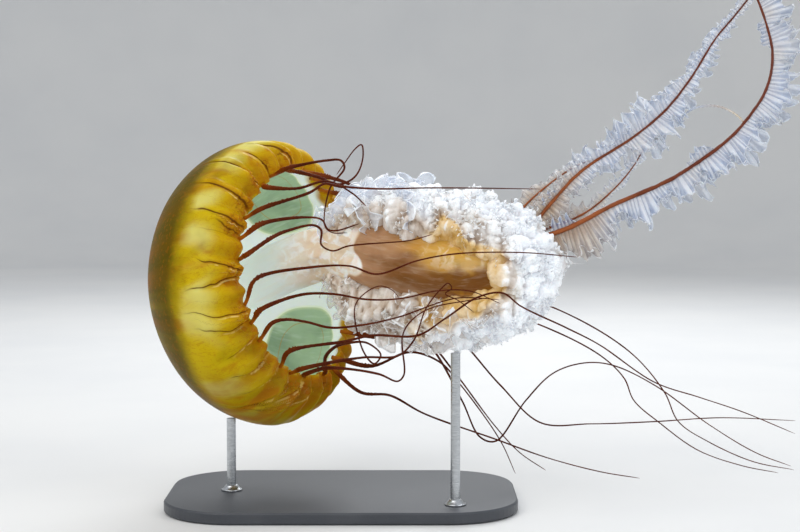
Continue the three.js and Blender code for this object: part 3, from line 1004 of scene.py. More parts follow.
    def folds(
        self, shader: Shader, colour: Paint, station: Value, streak: Value, grain: Value
    ) -> Paint:
        """Painted brown shade in the folds, painted dark shade along the creases and in the crumpled
        wrinkles, and painted highlights on the lips beside the creases.

        Args:
            shader: The material's builder.
            colour: The colour so far.
            station: The station as a value.
            streak: Noise drawn out towards the margin.
            grain: Fine noise.

        Returns:
            The colour's socket.
        """
        away = shader.at_point("away")
        amount = shader.at_point("amount")
        crumple = shader.at_point("crumple")
        outer = 1 - station.step(2.1, 2.5)
        rim = station.step(1.60, 1.98) * outer
        mottle = (streak * 0.6 + grain * 0.4).step(0.46, 0.60)
        colour = shader.mix(mottle * rim * 0.55, colour, Tone.ORANGE_BROWN)
        colour = shader.mix(crumple.step(0.15, 1.1) * mottle * 0.8, colour, Tone.ORANGE_BROWN)
        # Painted shade: orange-brown in the folds beside the creases.
        shade = shader.at_point("shade").step(0.1, 1.5)
        colour = shader.mix(shade * self.fold_shade_share, colour, Tone.ORANGE_BROWN)
        # Painted shade: thin dark lines in the wrinkles of the crumpled margin.
        veins = shader.noise(shader.place("local"), 150.0, 2.0, 1.2)
        wrinkle_shade = 1 - abs(veins - 0.5).step(0.004, 0.022)
        colour = shader.mix(wrinkle_shade * crumple.step(0.25, 0.8) * 0.55, colour, Tone.CREASE_SHADE)
        # Painted highlight: a pale lip on the outer skin beside each strong crease.
        lip = (1 - abs(away - 2.0).step(0.2, 1.1)) * amount.step(0.5, 1.2) * station.step(1.2, 1.6)
        colour = shader.mix(lip * outer * streak.step(0.4, 0.6) * 0.6, colour, Tone.CREASE_HIGHLIGHT)
        # Painted shade: a thin dark line along each crease.
        line = (1 - abs(away).step(0.15, 0.80)) * amount.step(0.05, 0.8)
        line = line * (streak + 0.25).step(0.35, 0.6)
        return shader.mix(line * outer * self.crease_shade_share, colour, Tone.CREASE_SHADE)

    def inside(
        self, shader: Shader, colour: Paint, station: Value, cloud: Value, streak: Value
    ) -> Paint:
        """The lining: brown-gold by the margin, then milk with four sea-green windows.

        Args:
            shader: The material's builder.
            colour: The colour so far.
            station: The station as a value.
            cloud: Broad noise.
            streak: Noise drawn out towards the margin.

        Returns:
            The colour's socket.
        """
        rim = (1 - abs(station - self.rim_place).step(0.02, 0.10)) * 0.5
        colour = shader.mix(rim, colour, Tone.ORANGE_BROWN)
        milk = shader.mix(cloud.step(0.45, 0.8) * 0.30, Tone.MILK, Tone.WINDOW_EDGE)
        window = shader.at_point("window")
        green = shader.mix(cloud.step(0.4, 0.75), Tone.SEA_GREEN, Tone.SEA_GREEN_DARK)
        green = shader.mix(streak.step(0.5, 0.8) * 0.25, green, Tone.MILK)
        ring = 1 - abs(window - 0.36 + (cloud - 0.5) * 0.1).step(0.004, 0.016)
        green = shader.mix(ring * 0.5, green, Tone.DEEP_GOLD)
        border = 1 - abs(window - 0.01).step(0.01, 0.07)
        milk = shader.mix(window.step(0.0, 0.03), milk, green)
        milk = shader.mix(border * 0.45, milk, Tone.WINDOW_EDGE)
        milky = (station + (cloud - 0.5) * 0.25).step(*self.milk_from)
        return shader.mix(milky, colour, milk)


# ---- trunk and bundle


# Points that the trunk passes beyond the stalk's foot, in millimetres.
TRUNK_VIA = ((-45, 4, 206), (-10, -8, 218), (42, -33, 213), (108, -53, 205), (187, -58, 211))


@dataclass(frozen=True)
class Trunk:
    """The mouth stalk and the smooth middle of the bundle that it runs on into."""

    bell: Bell = Bell()
    stalk_depths: tuple[float, float] = (22.0, 60.0)
    stalk_length: float = 138.0
    stalk_radius: float = 24.0
    flare: float = 22.0
    flare_length: float = 22.0
    clearance: float = 5.5
    bundle_half: float = 68.0
    fullest: float = 0.45
    reach: float = 0.62
    flatness: float = 0.7
    core_reach: float = 0.86
    core_swell: float = 0.30
    core_front: float = 13.0
    rows: int = 300
    around: int = 160
    seed: int = 31

    def route(self) -> Route:
        """The line through the stalk and the bundle.

        Returns:
            The line.
        """
        zero = np.array(0.0)
        start = [self.bell.place.point(np.array(d), zero, zero) for d in self.stalk_depths]
        return Route([*start, *TRUNK_VIA])

    def bundle_radius(self, u: Array) -> Array:
        """Half of the bundle's height at shares of its length."""
        return self.bundle_half * (1 - np.abs((u - self.fullest) / self.reach) ** 3)

    def stalk_at(self, at: Array) -> Array:
        """The stalk's radius, kept clear of the bell's hollow.

        Args:
            at: Lengths from its foot.

        Returns:
            The radii.
        """
        flared = self.stalk_radius + self.flare * np.exp(-((at / self.flare_length) ** 2))
        depth = np.minimum(self.stalk_depths[0] + at, self.bell.depth)
        rise = (self.bell.depth - depth) / (self.bell.depth - self.bell.wall_top)
        hollow = (self.bell.radius - self.bell.wall_side) * np.sqrt(np.maximum(1 - rise * rise, 0))
        return np.minimum(flared, hollow - self.clearance)

    def place(self, route: Route, u: Array, high: Array, front: Array) -> Array:
        """Points beside the bundle's line.

        Args:
            route: The trunk's line.
            u: Shares of the bundle's length.
            high: Heights above the line.
            front: Ways forward from it.

        Returns:
            The points.
        """
        at = self.stalk_length + u * (route.length - self.stalk_length)
        up, back = route.across(at)
        return route.at(at) + up * high[..., None] - back * front[..., None]

    def build(self) -> None:
        """Makes the trunk's skin, ribbed on the stalk and pleated along the middle."""
        route = self.route()
        end = self.stalk_length + self.core_reach * (route.length - self.stalk_length)
        at, angle = grid(np.linspace(0.2, end, self.rows), turns(self.around))
        share = np.clip((at - self.stalk_length) / (end - self.stalk_length), 0, 1)
        high = self.stalk_at(at) * (1 + self.core_swell * np.sin(math.pi * share) ** 0.8)
        deep = self.stalk_at(at) + self.core_front * smooth(share, 0.0, 0.35)
        taper = np.sqrt(np.maximum(1 - share**6, 0.0001))
        noise = Bumps(self.seed)
        up, back = route.across(at)
        centre = route.at(at)
        ring = up * np.cos(angle)[..., None] - back * np.sin(angle)[..., None]
        drawn = np.stack([at * 0.20, 26 * np.cos(angle), 26 * np.sin(angle)], -1)
        ribs = -0.06 * np.cos(4 * angle) * (1 - share)
        pleats = 0.10 * noise.layered(drawn, 13.0, 3) + 0.05 * noise.at(drawn + 9, 24.0)
        lumps = 0.035 * noise.layered(centre + 24 * ring, 16.0, 3)
        swell = 1 + ribs + pleats * smooth(at, 40.0, 150.0) + lumps
        shape = up * (high * taper * swell * np.cos(angle))[..., None]
        shape = shape - back * (deep * taper * swell * np.sin(angle))[..., None]
        made = Surface()
        made.add(
            centre + shape,
            wrap=True,
            at=at,
            round_cos=np.cos(angle),
            sunk=-(pleats + lumps) * 10,
            local=drawn * MM,
        )
        show(made.build("mouth_trunk"), TrunkFinish().material(), ["mouth_stalk"])


@dataclass(frozen=True)
class TrunkFinish:
    """Wet, milky flesh that turns pale peach, then tan and amber, with fine lengthwise fibres."""

    roughness: float = 0.40

    def material(self) -> Material:
        """Builds the node material.

        Returns:
            The material.
        """
        shader = Shader("trunk_look")
        cloud = shader.noise(shader.position(), 42.0, 3.0, 0.5)
        at = shader.at_point("at") + (shader.noise(shader.position(), 30.0, 2.0) - 0.5) * 50
        high = shader.at_point("round_cos") + (cloud - 0.5) * 0.45
        fibre = shader.noise(shader.place("local"), 420.0, 4.0, 0.6)
        curd = shader.noise(shader.position(), 110.0, 3.0, 0.8)
        cream = shader.mix(curd.step(0.46, 0.64) * 0.6, Tone.PALE_PEACH, Tone.FRILL_WHITE)
        colour = shader.mix(at.step(92.0, 140.0), Tone.MILK, cream)
        scallops = shader.noise(shader.position(), 52.0, 0.0)
        reach = shader.at_point("at") + high * high * 22 + (scallops - 0.5) * 48
        veil = reach.step(184.0, 189.0)
        lip = 1 - abs(reach - 181.0).step(0.5, 6.0)
        colour = shader.mix(veil, colour, Tone.PEACH)
        tan = shader.mix(cloud.step(0.35, 0.70), Tone.TAN, Tone.PEACH)
        colour = shader.mix(at.step(190.0, 218.0) * 0.80, colour, tan)
        amber = shader.mix(cloud.step(0.40, 0.64), Tone.TAN, Tone.AMBER)
        colour = shader.mix(at.step(222.0, 262.0), colour, amber)
        strip = 1 - abs(high - 0.62).step(0.10, 0.40)
        colour = shader.mix(strip * at.step(195.0, 235.0) * 0.8, colour, Tone.AMBER)
        # Painted shadow: darker amber along the lower side of the far part.
        dark = (1 - abs(high + 0.25).step(0.10, 0.50)) * at.step(190.0, 225.0)
        colour = shader.mix(dark * 0.85, colour, Tone.AMBER_SHADOW)
        # Painted light: the upper half of the far end is lighter, in honey and cream.
        light = at.step(232.0, 256.0) * high.step(-0.10, 0.35)
        honey = shader.mix(curd.step(0.46, 0.64) * 0.6, Tone.HONEY, Tone.FRILL_CREAM)
        colour = shader.mix(light * 0.85, colour, honey)
        ivory = shader.noise(shader.place("local"), 90.0, 2.0, 0.8)
        colour = shader.mix(ivory.step(0.56, 0.76) * 0.22, colour, Tone.PALE_PEACH)
        colour = shader.mix(fibre.step(0.45, 0.75) * 0.12, colour, Tone.FRILL_CREAM)
        # Painted shade: tan in the sunken pleats and hollows of the trunk.
        colour = shader.mix(shader.at_point("sunk").step(0.2, 1.2) * 0.35, colour, Tone.TAN)
        colour = shader.mix(lip * 0.35, colour, Tone.FRILL_WHITE)
        # Painted glow: the trunk glows by emission, most where it starts, inside the bell.
        inner = 1 - shader.at_point("at").step(30.0, 130.0)
        return shader.finish(
            base_color=colour,
            roughness=self.roughness + (fibre - 0.5) * 0.25,
            ior=1.15,
            coat_weight=0.06,
            coat_roughness=0.15,
            subsurface_weight=0.4,
            subsurface_radius=(0.012, 0.006, 0.003),
            subsurface_scale=1.0,
            emission_color=shader.mix(1.0, colour, shader.tint(inner * 0.26 + 0.10), "MULTIPLY"),
            emission_strength=1.0,
            normal=shader.bump(fibre + cloud * 0.4, 0.0008, 0.45),
        )


@dataclass(frozen=True)
class Ruffle:
    """How one kind of frill is folded: sizes in millimetres."""

    tall: float
    wave: float
    swing: float
    fine_wave: float
    fine_swing: float
    scallop: float
    step: float
    rows: int
    scallop_wave: float = 4.2
    roll: float = 0.3
    stray: float = 0.10

    def sheets(
        self,
        roots: Array,
        rise: Array,
        height: Array,
        rng: np.random.Generator,
    ) -> tuple[Array, Array, Array]:
        """Folds sheets that stand on root lines.

        Args:
            roots: Sheets by steps of points along each root.
            rise: The directions that the sheets stand in, for the same points.
            height: How much of the full height each point has, from 0 to 1.
            rng: The source of chance.

        Returns:
            Points as sheets by rows by steps, the share of the way to the edge for each row, and
            how near each step is to the crest of a fold.
        """
        count, steps = roots.shape[:2]
        along = unit(np.gradient(roots, axis=1))
        rise = unit(rise - along * np.sum(rise * along, -1, keepdims=True))
        side = np.cross(along, rise)
        run = np.cumsum(np.linalg.norm(np.diff(roots, axis=1, prepend=roots[:, :1]), axis=-1), 1)
        phase = rng.uniform(0, TURN, (count, 1))
        drift = np.cumsum(rng.normal(0, self.stray, (count, steps)), axis=1)
        turn = phase + TURN * run / self.wave + drift
        fine = 2.7 * phase + TURN * run / self.fine_wave + 2.2 * drift
        vary = 0.75 + 0.5 * rng.random((count, 1))
        lift = 1 + 0.16 * np.sin(fine * 0.43 + phase) + 0.12 * np.sin(turn * 0.5 + 2 * phase)
        lobes = np.abs(np.sin(math.pi * run / self.scallop_wave + drift)) ** 0.6 - 0.6
        share = np.linspace(0, 1, self.rows)
        even = self.roll / (0.84 - self.roll)
        rows = []
        for h in share:
            lean = np.sin(turn + 0.9 * h)
            sway = self.swing * vary * h**1.25 * lean + self.tall * self.roll * 0.8 * h**4 * lean
            curl = self.fine_swing * h**2.2 * np.sin(fine)
            shift = self.swing * 0.30 * h * np.sin(2 * turn + 0.4)
            rolled = h - (0.16 + self.roll * lean**2) * h**4
            tall = self.tall * lift * (1 + even * lean**2) * rolled + self.scallop * lobes * h**4
            droop = self.swing * 0.45 * h * h * np.cos(turn * 0.5 + 3 * phase)
            size = np.minimum(1.0, height * 1.6)
            rows.append(
                roots
                + rise * (tall * height)[..., None]
                + side * ((sway + curl + droop) * size)[..., None]
                + along * (shift * size)[..., None]
            )
        return np.stack(rows, 1), share, np.abs(np.sin(turn + 0.6))


def ends_fade(steps: int, step: float, low: float, high: float) -> Array:
    """How tall a frill is along its root: little at both ends, full from `high` on."""
    places = np.arange(steps)
    return smooth(np.minimum(places, places[::-1]) * step, low, high)


DENSE_FRILL = Ruffle(
    tall=5.0, wave=4.8, swing=1.7, fine_wave=3.0, fine_swing=0.10, scallop=0.25, step=0.5, rows=7,
    scallop_wave=3.2, roll=0.48, stray=0.12,
)
LOOSE_FRILL = Ruffle(
    tall=15.0, wave=14.0, swing=5.6, fine_wave=6.0, fine_swing=0.8, scallop=1.0, step=0.7, rows=15,
    scallop_wave=7.5, roll=0.3, stray=0.08,
)
COLLAR_FRILL = Ruffle(
    tall=13.0, wave=15.0, swing=4.0, fine_wave=7.0, fine_swing=0.4, scallop=0.5, step=0.7, rows=10,
    scallop_wave=6.0,
)
TRAIL_FRILL = Ruffle(
    tall=24.0, wave=7.0, swing=3.0, fine_wave=3.1, fine_swing=0.45, scallop=0.7, step=0.55, rows=12,
    scallop_wave=3.5, roll=0.24, stray=0.30,
)
SMALL_FRILL = Ruffle(
    tall=10.0, wave=7.0, swing=2.8, fine_wave=3.2, fine_swing=0.4, scallop=0.8, step=0.5, rows=8,
)


class MapRows:
    """Shares a stretch of the map out in rows and columns, one patch for each sheet."""

    GAP = 0.08

    def __init__(self, count: int, columns: int, within: Patch = (0.0, 0.0, 1.0, 1.0)) -> None:
        """Plans the patches.

        Args:
            count: How many sheets there are.
            columns: Patches in a row.
            within: The stretch of the map.
        """
        self.columns = columns
        self.rows = math.ceil(count / columns)
        self.within = within
        self.used = 0

    def next(self) -> Patch:
        """Takes the next free patch.

        Returns:
            Its corners.
        """
        row, column = divmod(self.used, self.columns)
        self.used += 1
        left, bottom, right, top = self.within
        wide, tall = (right - left) / self.columns, (top - bottom) / self.rows
        x, y = left + column * wide, bottom + row * tall
        gap_x, gap_y = wide * self.GAP / 4, tall * self.GAP
        return (x + gap_x, y + gap_y, x + wide - gap_x, y + tall - gap_y)


def add_sheets(
    made: Surface, folded: Sequence[Array], warm: Array, patches: MapRows, seed: int
) -> None:
    """Adds folded sheets, with the values that their finish reads.

    Args:
        made: The surface that they go to.
        folded: Points as sheets by rows by steps, the way to the edge for each row, and the
            crests as sheets by steps.
        warm: How much cream shows through, as sheets by steps.
        patches: Their places on the map.
        seed: The seed of each sheet's own shade.
    """
    rng = np.random.default_rng(seed)
    sheets, share, crests = folded
    for sheet, crest, cream in zip(sheets, crests, warm):
        like = np.ones(sheet.shape[:2])
        edge = share[:, None] * like
        shade = rng.random() * like
        made.add(sheet, patches.next(), edge=edge, warm=cream * like, crest=crest * like, shade=shade)


@dataclass(frozen=True)
class Bundle:
    """The four arms' crowded frills round the trunk, each arm a quarter of the way round."""

    trunk: Trunk = Trunk()
    body_share: float = 0.862
    lobe: float = 0.075
    lobe_size: float = 21.0
    puffs: tuple[tuple[float, float], ...] = ((10.5, 9.0), (5.4, 4.6), (2.9, 2.2))
    puff_sink: float = 0.36
    end_start: float = 0.84
    lump: float = 0.05
    lump_waves: tuple[tuple[int, int], ...] = ((6, 23), (10, -37))
    groove_angle: float = math.radians(93)
    groove_half: float = math.radians(40)
    groove_start: float = -0.16
    groove_end: float = 0.80
    spacing: float = 5.7
    row_gap: float = 2.6
    root_gap: float = 1.9
    root_length: float = 30.0
    first: float = -0.11
    rows: int = 240
    around: int = 400
    seed: int = 71

    def groove(self, u: Array, angle: Array, spread: float = 1.0) -> Array:
        """How open the front is: the trunk shows there.

        Args:
            u: Shares of the bundle's length.
            angle: Angles round it.
            spread: How far to widen the opening.

        Returns:
            Numbers from 0 to 1.
        """
        away = (angle - self.groove_angle + math.pi) % TURN - math.pi
        narrowing = np.sqrt(np.clip(1 - (np.clip(u, 0, 1) / self.groove_end) ** 2.4, 0.0001, 1))
        ragged = 0.14 * np.sin(23 * u + 5 * angle) + 0.11 * np.sin(47 * u - 9 * angle)
        wide = np.abs(away) / (self.groove_half * narrowing * spread) + ragged
        opens = smooth(u, self.groove_start - 0.04 * spread, self.groove_start + 0.04)
        closes = 1 - smooth(u, self.groove_end - 0.22, self.groove_end + 0.3 * (spread - 1))
        return (1 - smooth(wide, 0.70, 1.15)) * opens * closes

    def warmth(self, u: Array, angle: Array) -> Array:
        """How warm the frills are.

        Args:
            u: Shares of the bundle's length.
            angle: Angles round it.

        Returns:
            Cream up to 1 round the opening, amber up to 2 at its far end.
        """
        lower = smooth(-np.cos(angle), -0.2, 0.8)
        thin = 1 - smooth(u + 0.05 * np.sin(9 * angle), 0.12 + 0.20 * lower, 0.30 + 0.22 * lower)
        cream = 0.85 * self.groove(u, angle, 1.45) ** 0.7 + (0.45 + 0.4 * lower) * thin
        band = smooth(u, 0.40, 0.58) * (1 - smooth(u, 0.70, 0.84))
        return np.clip(cream, 0, 1) + band * self.groove(np.minimum(u, 0.62), angle, 1.7)

    def body(self, u: Array, angle: Array) -> Array:
        """The radius of the flesh that the frills stand on.

        Args:
            u: Shares of the bundle's length.
            angle: Angles round it.

        Returns:
            The radii.
        """
        waves = sum(np.sin(around * angle + along * u) for around, along in self.lump_waves)
        radius = self.trunk.bundle_radius(np.clip(u, 0, 1)) * (1 + self.lump * waves)
        share = self.body_share * (0.66 + 0.34 * smooth(u, -0.02, 0.25))
        across = self.lobe_size * 2.2
        length = self.trunk.bundle_half * 3
        spots = np.stack([u * length, across * np.cos(angle), across * np.sin(angle)], -1)
        lobes = (1 - 2 * np.abs(Bumps(self.seed + 5).at(spots, self.lobe_size))) * self.lobe
        closing = np.clip((u - self.end_start) / (1 - self.end_start), 0, 1)
        rounded = np.sqrt(np.maximum(1 - closing**2, 0.0004))
        full = radius * (share + lobes) * (1 - 0.62 * self.groove(u, angle)) * rounded
        opens = smooth(u, -0.06, 0.10)
        return full * opens + (self.trunk.stalk_radius + 1.0) * (1 - opens)

    def point(self, route: Route, u: Array, angle: Array) -> Array:
        """Points on that flesh.

        Args:
            route: The trunk's line.
            u: Shares of the bundle's length.
            angle: Angles round it.

        Returns:
            The points.
        """
        radius = self.body(u, angle)
        flatness = 1 - (1 - self.trunk.flatness) * smooth(u, -0.06, 0.2)
        return self.trunk.place(route, u, radius * np.cos(angle), radius * flatness * np.sin(angle))

    def outward(self, route: Route, u: Array, angle: Array) -> Array:
        """Directions straight out of that flesh.

        Args:
            route: The trunk's line.
            u: Shares of the bundle's length.
            angle: Angles round it.

        Returns:
            Vectors of length one.
        """
        step = 0.01
        along = self.point(route, u + step, angle) - self.point(route, u - step, angle)
        round_it = self.point(route, u, angle + step) - self.point(route, u, angle - step)
        return unit(np.cross(round_it, along))

    def flesh(self, route: Route) -> Surface:
        """The lumpy flesh under the frills.

        Args:
            route: The trunk's line.

        Returns:
            Its surface.
        """
        u, angle = grid(np.linspace(-0.03, 1.0, self.rows), turns(self.around))
        held = np.clip(u, 0, 0.998)
        end = np.sqrt(np.clip((1 - u) / 0.06, 0.0001, 1))
        start = np.sqrt(np.clip((u + 0.031) / 0.05, 0.0001, 1))
        middle = self.trunk.place(route, held, u * 0, u * 0)
        points = self.trunk.place(route, u, u * 0, u * 0)
        points = points + (self.point(route, held, angle) - middle) * start[..., None]
        noise = Bumps(self.seed)
        rounds = [(tall, np.abs(noise.at(points, size)) ** 0.75) for size, tall in self.puffs]
        puffs = sum(tall * (rise - self.puff_sink) for tall, rise in rounds)
        puffs = puffs * (1 - 0.8 * self.groove(u, angle))
        points = points + self.outward(route, held, angle) * (puffs * start * end)[..., None]
        # The flesh's edge value rises on the puffs: its finish paints light on their tops and shade
        # in the hollows between them.
        edge = np.clip(0.44 + 0.10 * puffs, 0, 1)[:, ::-1]
        warm = self.warmth(u, angle)[:, ::-1]
        made = Surface()
        made.add(points[:, ::-1], wrap=True, edge=edge, warm=warm, shade=0 * u, crest=edge)
        return made

    def roots(self, route: Route, rng: np.random.Generator) -> tuple[Array, ...]:
        """Root lines that wander over the flesh, evenly spread.

        Args:
            route: The trunk's line.
            rng: The source of chance.

        Returns:
            Shares of the length, angles and the angle where each line starts.
        """
        length = route.length - self.trunk.stalk_length
        steps = int(self.root_length / DENSE_FRILL.step)
        starts = []
        pitch = self.spacing * self.row_gap / length
        for u in np.arange(self.first, 1.0, pitch):
            girth = 4.4 * float(self.body(np.array(min(u, 0.97)), np.array(math.pi)))
            count = max(int(girth / (self.spacing * self.root_gap)), 5)
            for k in range(count):
                jitter = rng.uniform(-0.5, 0.5, 2)
                starts.append((u + jitter[0] * pitch, (k + jitter[1]) * TURN / count))
        starts = np.array(starts)
        heading = rng.uniform(0, TURN, (len(starts), 1))
        bend = np.cumsum(rng.normal(0, 0.06, (len(starts), steps)), 1)
        way = heading + bend + rng.normal(0, 0.025, (len(starts), 1)) * np.arange(steps)
        u = starts[:, :1] + np.cumsum(np.cos(way), 1) * DENSE_FRILL.step / length
        thick = self.trunk.bundle_radius(np.clip(starts[:, :1], 0.02, 0.98))
        girth = np.maximum(0.62 * thick, 20.0)
        angle = starts[:, 1:] + np.cumsum(np.sin(way), 1) * DENSE_FRILL.step / girth
        return u, angle, starts[:, 1] % TURN

    def build(self) -> None:
        """Makes the flesh and each arm's frills."""
        route = self.trunk.route()
        material = FrillFinish("bundle_frill_look").material()
        nodes = [f"arm_{n}_{part}" for n in range(1, 5) for part in ("upper", "lower")]
        show(self.flesh(route).build("arm_flesh"), material, nodes)
        rng = np.random.default_rng(self.seed)
        u, angle, first = self.roots(route, rng)
        held = np.clip(u, self.first - 0.05, 1.0)
        base = self.point(route, held, angle)
        rise = self.outward(route, held, angle) + rng.normal(0, 0.30, (len(u), 1, 3))
        over = np.maximum(u - 1.0, 0)[..., None] * (route.length - self.trunk.stalk_length)
        base = base + over * route.along(np.array([route.length]))
        open_front = self.groove(held, angle)
        low_start = 0.30 + 0.70 * smooth(u, -0.04, 0.14)
        near_front = self.groove(held, angle, 1.5)
        height = (1 - 0.98 * open_front) * (1 - 0.5 * near_front) * low_start
        height = height * smooth(u, self.first - 0.05, self.first + 0.10)
        height = height * (1 - smooth(u, 0.99, 1.06)) * rng.uniform(0.75, 1.25, (len(u), 1))
        height = height * ends_fade(u.shape[1], DENSE_FRILL.step, -3.0, 7.0)
        folded = DENSE_FRILL.sheets(base - rise * 1.4, rise, np.maximum(height, 0.02), rng)
        warm = self.warmth(u, angle)
        quarter = (first // QUARTER).astype(int)
        bare = np.mean(open_front, axis=1) > 0.45
        for arm in range(4):
            chosen = (quarter == arm) & ~bare
            made = Surface()
            patches = MapRows(int(chosen.sum()), 4)
            part = (folded[0][chosen], folded[1], folded[2][chosen])
            add_sheets(made, part, warm[chosen], patches, arm)
            name = f"arm_{arm + 1}"
            solids = [f"{name}_upper", f"{name}_lower"]
            show(made.build(f"{name}_frills"), material, solids)


@dataclass(frozen=True)
class FrillFinish:
    """White frill flesh: painted grey shade and a painted warm glow in its depths, its own cream
    where it is warm, faintly blue where it thins, bluer with painted shade between its crests, and
    white along its edge.
    """

    name: str
    blue: float = 0.10
    alpha_low: float = 1.0
    glow: float = 0.17
    cream: float = 0.35
    rim_start: float = 0.80
    crest_body: float = 0.30

    def material(self) -> Material:
        """Builds the node material.

        Returns:
            The material.
        """
        shader = Shader(self.name)
        edge = shader.at_point("edge")
        warm = shader.at_point("warm")
        shade = shader.at_point("shade")
        crest = shader.at_point("crest").step(0.25, 0.95)
        where = shader.position()
        cloud = shader.noise(where, 30.0, 3.0, 0.3)
        fine = shader.noise(where, 620.0, 3.0)
        cells = shader.node("ShaderNodeTexVoronoi", None, {"Vector": where, "Scale": 420.0})
        grains = Value(shader, cells.outputs["Distance"])
        # Painted shade: each sheet is greyer towards its root, and the flesh is greyer in its
        # hollows.
        deep = 1 - edge.step(0.05, 0.75)
        colour = shader.mix(deep * (0.35 + shade * 0.4), Tone.FRILL_WHITE, Tone.FRILL_SHADE)
        thin = edge.step(0.35, 0.75) * (1 - edge.step(0.85, 1.0))
        # Blue: the frill's own see-through tint where it thins, with painted shade that makes it
        # bluer between the crests of its folds.
        blue = (thin * 0.35 + 0.65) * self.blue * (0.6 + shade * 0.6) * (1.15 - crest * 0.75)
        colour = shader.mix(blue.least(0.95), colour, Tone.FRILL_BLUE)
        # Cream: the flesh's own warm tone where it is warm, and a painted glow of scattered light in
        # the depths of each sheet.
        creamy = (cloud.step(0.50, 0.70) * self.cream + warm * 0.85) * (0.45 + deep * 0.55)
        colour = shader.mix(creamy.least(1.0), colour, Tone.FRILL_CREAM)
        tan = (1 - edge.step(0.10, 0.52)) * (warm.least(1.0) * 0.6 + 0.15)
        colour = shader.mix(tan, colour, Tone.TAN)
        # Fawn where the flesh is warm, stronger between the crests as painted shade.
        grey = warm.step(0.15, 0.9) * (0.66 - crest * 0.3) * (1 - warm.step(0.95, 1.2))
        colour = shader.mix(grey, colour, Tone.FAWN)
        colour = shader.mix(warm.step(0.95, 1.5) * (0.95 - edge * 0.45), colour, Tone.HONEY)
        colour = shader.mix(edge.step(self.rim_start, 1.0) * 0.85, colour, Tone.FRILL_WHITE)
        colour = shader.mix(fine.step(0.5, 0.75) * 0.12, colour, Tone.FRILL_SHADE)
        sockets = {
            "base_color": colour,
            "roughness": 0.45 + (fine - 0.5) * 0.3,
            "ior": 1.25,
            "subsurface_weight": 0.35,
            "subsurface_radius": (0.007, 0.006, 0.006),
            "subsurface_scale": 1.0,
            # Painted glow: the frills glow by emission, though no lamp is there.
            "emission_color": colour,
            "emission_strength": self.glow,
            "normal": shader.bump(fine * 0.5 + (1 - grains), 0.0009, 0.6),
        }
        if self.alpha_low < 1.0:
            rim = edge.step(self.rim_start, 0.97)
            body = self.alpha_low + crest * self.crest_body + fine * 0.12
            sockets["alpha"] = (rim * (1 - self.alpha_low) + body).least(1.0)
        return shader.finish(**sockets)


@dataclass(frozen=True)
class LooseFrills:
    """The see-through ribbons that hang off the trunk before the crowded part."""

    bundle: Bundle = Bundle()
    root_length: float = 58.0

    def group(
        self,
        name: str,
        ruffle: Ruffle,
        places: Sequence[tuple[float, ...]],
        look: FrillFinish,
        seed: int,
    ) -> None:
        """Makes one group of ribbons.

        Args:
            name: The piece's name.
            ruffle: How they are folded.
            places: Where each starts, as its share of the bundle, its angle and heading in
                degrees, its height, and how much cream shows in it.
            look: Their finish.
            seed: The seed of their folds.
        """
        route = self.bundle.trunk.route()
        length = route.length - self.bundle.trunk.stalk_length
        rng = np.random.default_rng(seed)
        steps = int(self.root_length / ruffle.step)
        spots = np.array(places)
        way = np.radians(spots[:, 2:3]) + np.cumsum(rng.normal(0, 0.05, (len(spots), steps)), 1)
        u = spots[:, :1] + np.cumsum(np.cos(way), 1) * ruffle.step / length
        angle = np.radians(spots[:, 1:2]) + np.cumsum(np.sin(way), 1) * ruffle.step / 30.0
        rise = self.bundle.outward(route, u, angle)
        base = self.bundle.point(route, u, angle) - rise * 2.0
        height = ends_fade(steps, ruffle.step, -4.0, 14.0) * spots[:, 3:4]
        height = height * (1 - self.bundle.groove(u, angle))
        lean = rng.normal(0, 0.22, (len(spots), 1, 3))
        folded = ruffle.sheets(base, rise + lean, np.maximum(height, 0.02), rng)
        made = Surface()
        add_sheets(made, folded, spots[:, 4:] * np.ones_like(u), MapRows(len(spots), 2), seed)
        show(made.build(name), look.material(), [])

    def build(self) -> None:
        """Makes the upper, lower, front and back groups."""
        veil = FrillFinish(
            "loose_frill_look", blue=0.50, alpha_low=0.34, glow=0.18, cream=0.25, rim_start=0.80,
            crest_body=0.22,
        )
        lower_veil = FrillFinish(
            "loose_lower_look", blue=0.20, alpha_low=0.30, glow=0.14, cream=0.6, rim_start=0.82,
            crest_body=0.2,
        )
        collar = FrillFinish(
            "collar_frill_look", blue=0.05, alpha_low=0.55, glow=0.16, cream=0.7, rim_start=0.88,
        )
        sin, few = math.sin, range(11)
        upper = [(-0.05 + 0.029 * k, 20 + 30 * sin(1.9 * k), 35 * sin(3 * k), 1.0, 0.0) for k in few]
        lower = [(-0.06 + 0.05 * k, 152 + 34 * sin(2.3 * k), 40 * sin(2 * k), 1.0, 0.8) for k in few]
        back = [(-0.06 + 0.05 * k, 270 + 38 * sin(2.1 * k), 50 * sin(3 * k), 0.8, 0.1) for k in few]
        front = [(-0.02 + 0.03 * (k % 5), 96 + 7 * k, 20 * sin(4 * k), 0.7, 0.8) for k in range(9)]
        self.group("loose_frills_upper", LOOSE_FRILL, upper, veil, 5)
        self.group("loose_frills_lower", LOOSE_FRILL, lower, lower_veil, 6)
        self.group("loose_frills_back", LOOSE_FRILL, back, veil, 8)
        self.group("loose_frills_front", COLLAR_FRILL, front, collar, 7)


# ---- trailing arms


@dataclass(frozen=True)
class SideRib:
    """A thinner rib beside a long arm: where it leaves and rejoins, and how far above it runs."""

    start: float
    end: float
    offsets: tuple[float, float, float]

    def line(self, route: Route) -> Route:
        """Its own line beside the arm's.

        Args:
            route: The arm's line.

        Returns:
            The rib's line.
        """
        t = np.linspace(0, 1, 12)
        first, middle, last = self.offsets
        away = first * (1 - t) ** 2 + 2 * middle * t * (1 - t) + last * t**2
        at = self.start + (self.end - self.start) * t
        up, back = route.across(at)
        return Route(route.at(at) + up * away[:, None] + back * (0.25 * np.abs(away))[:, None])


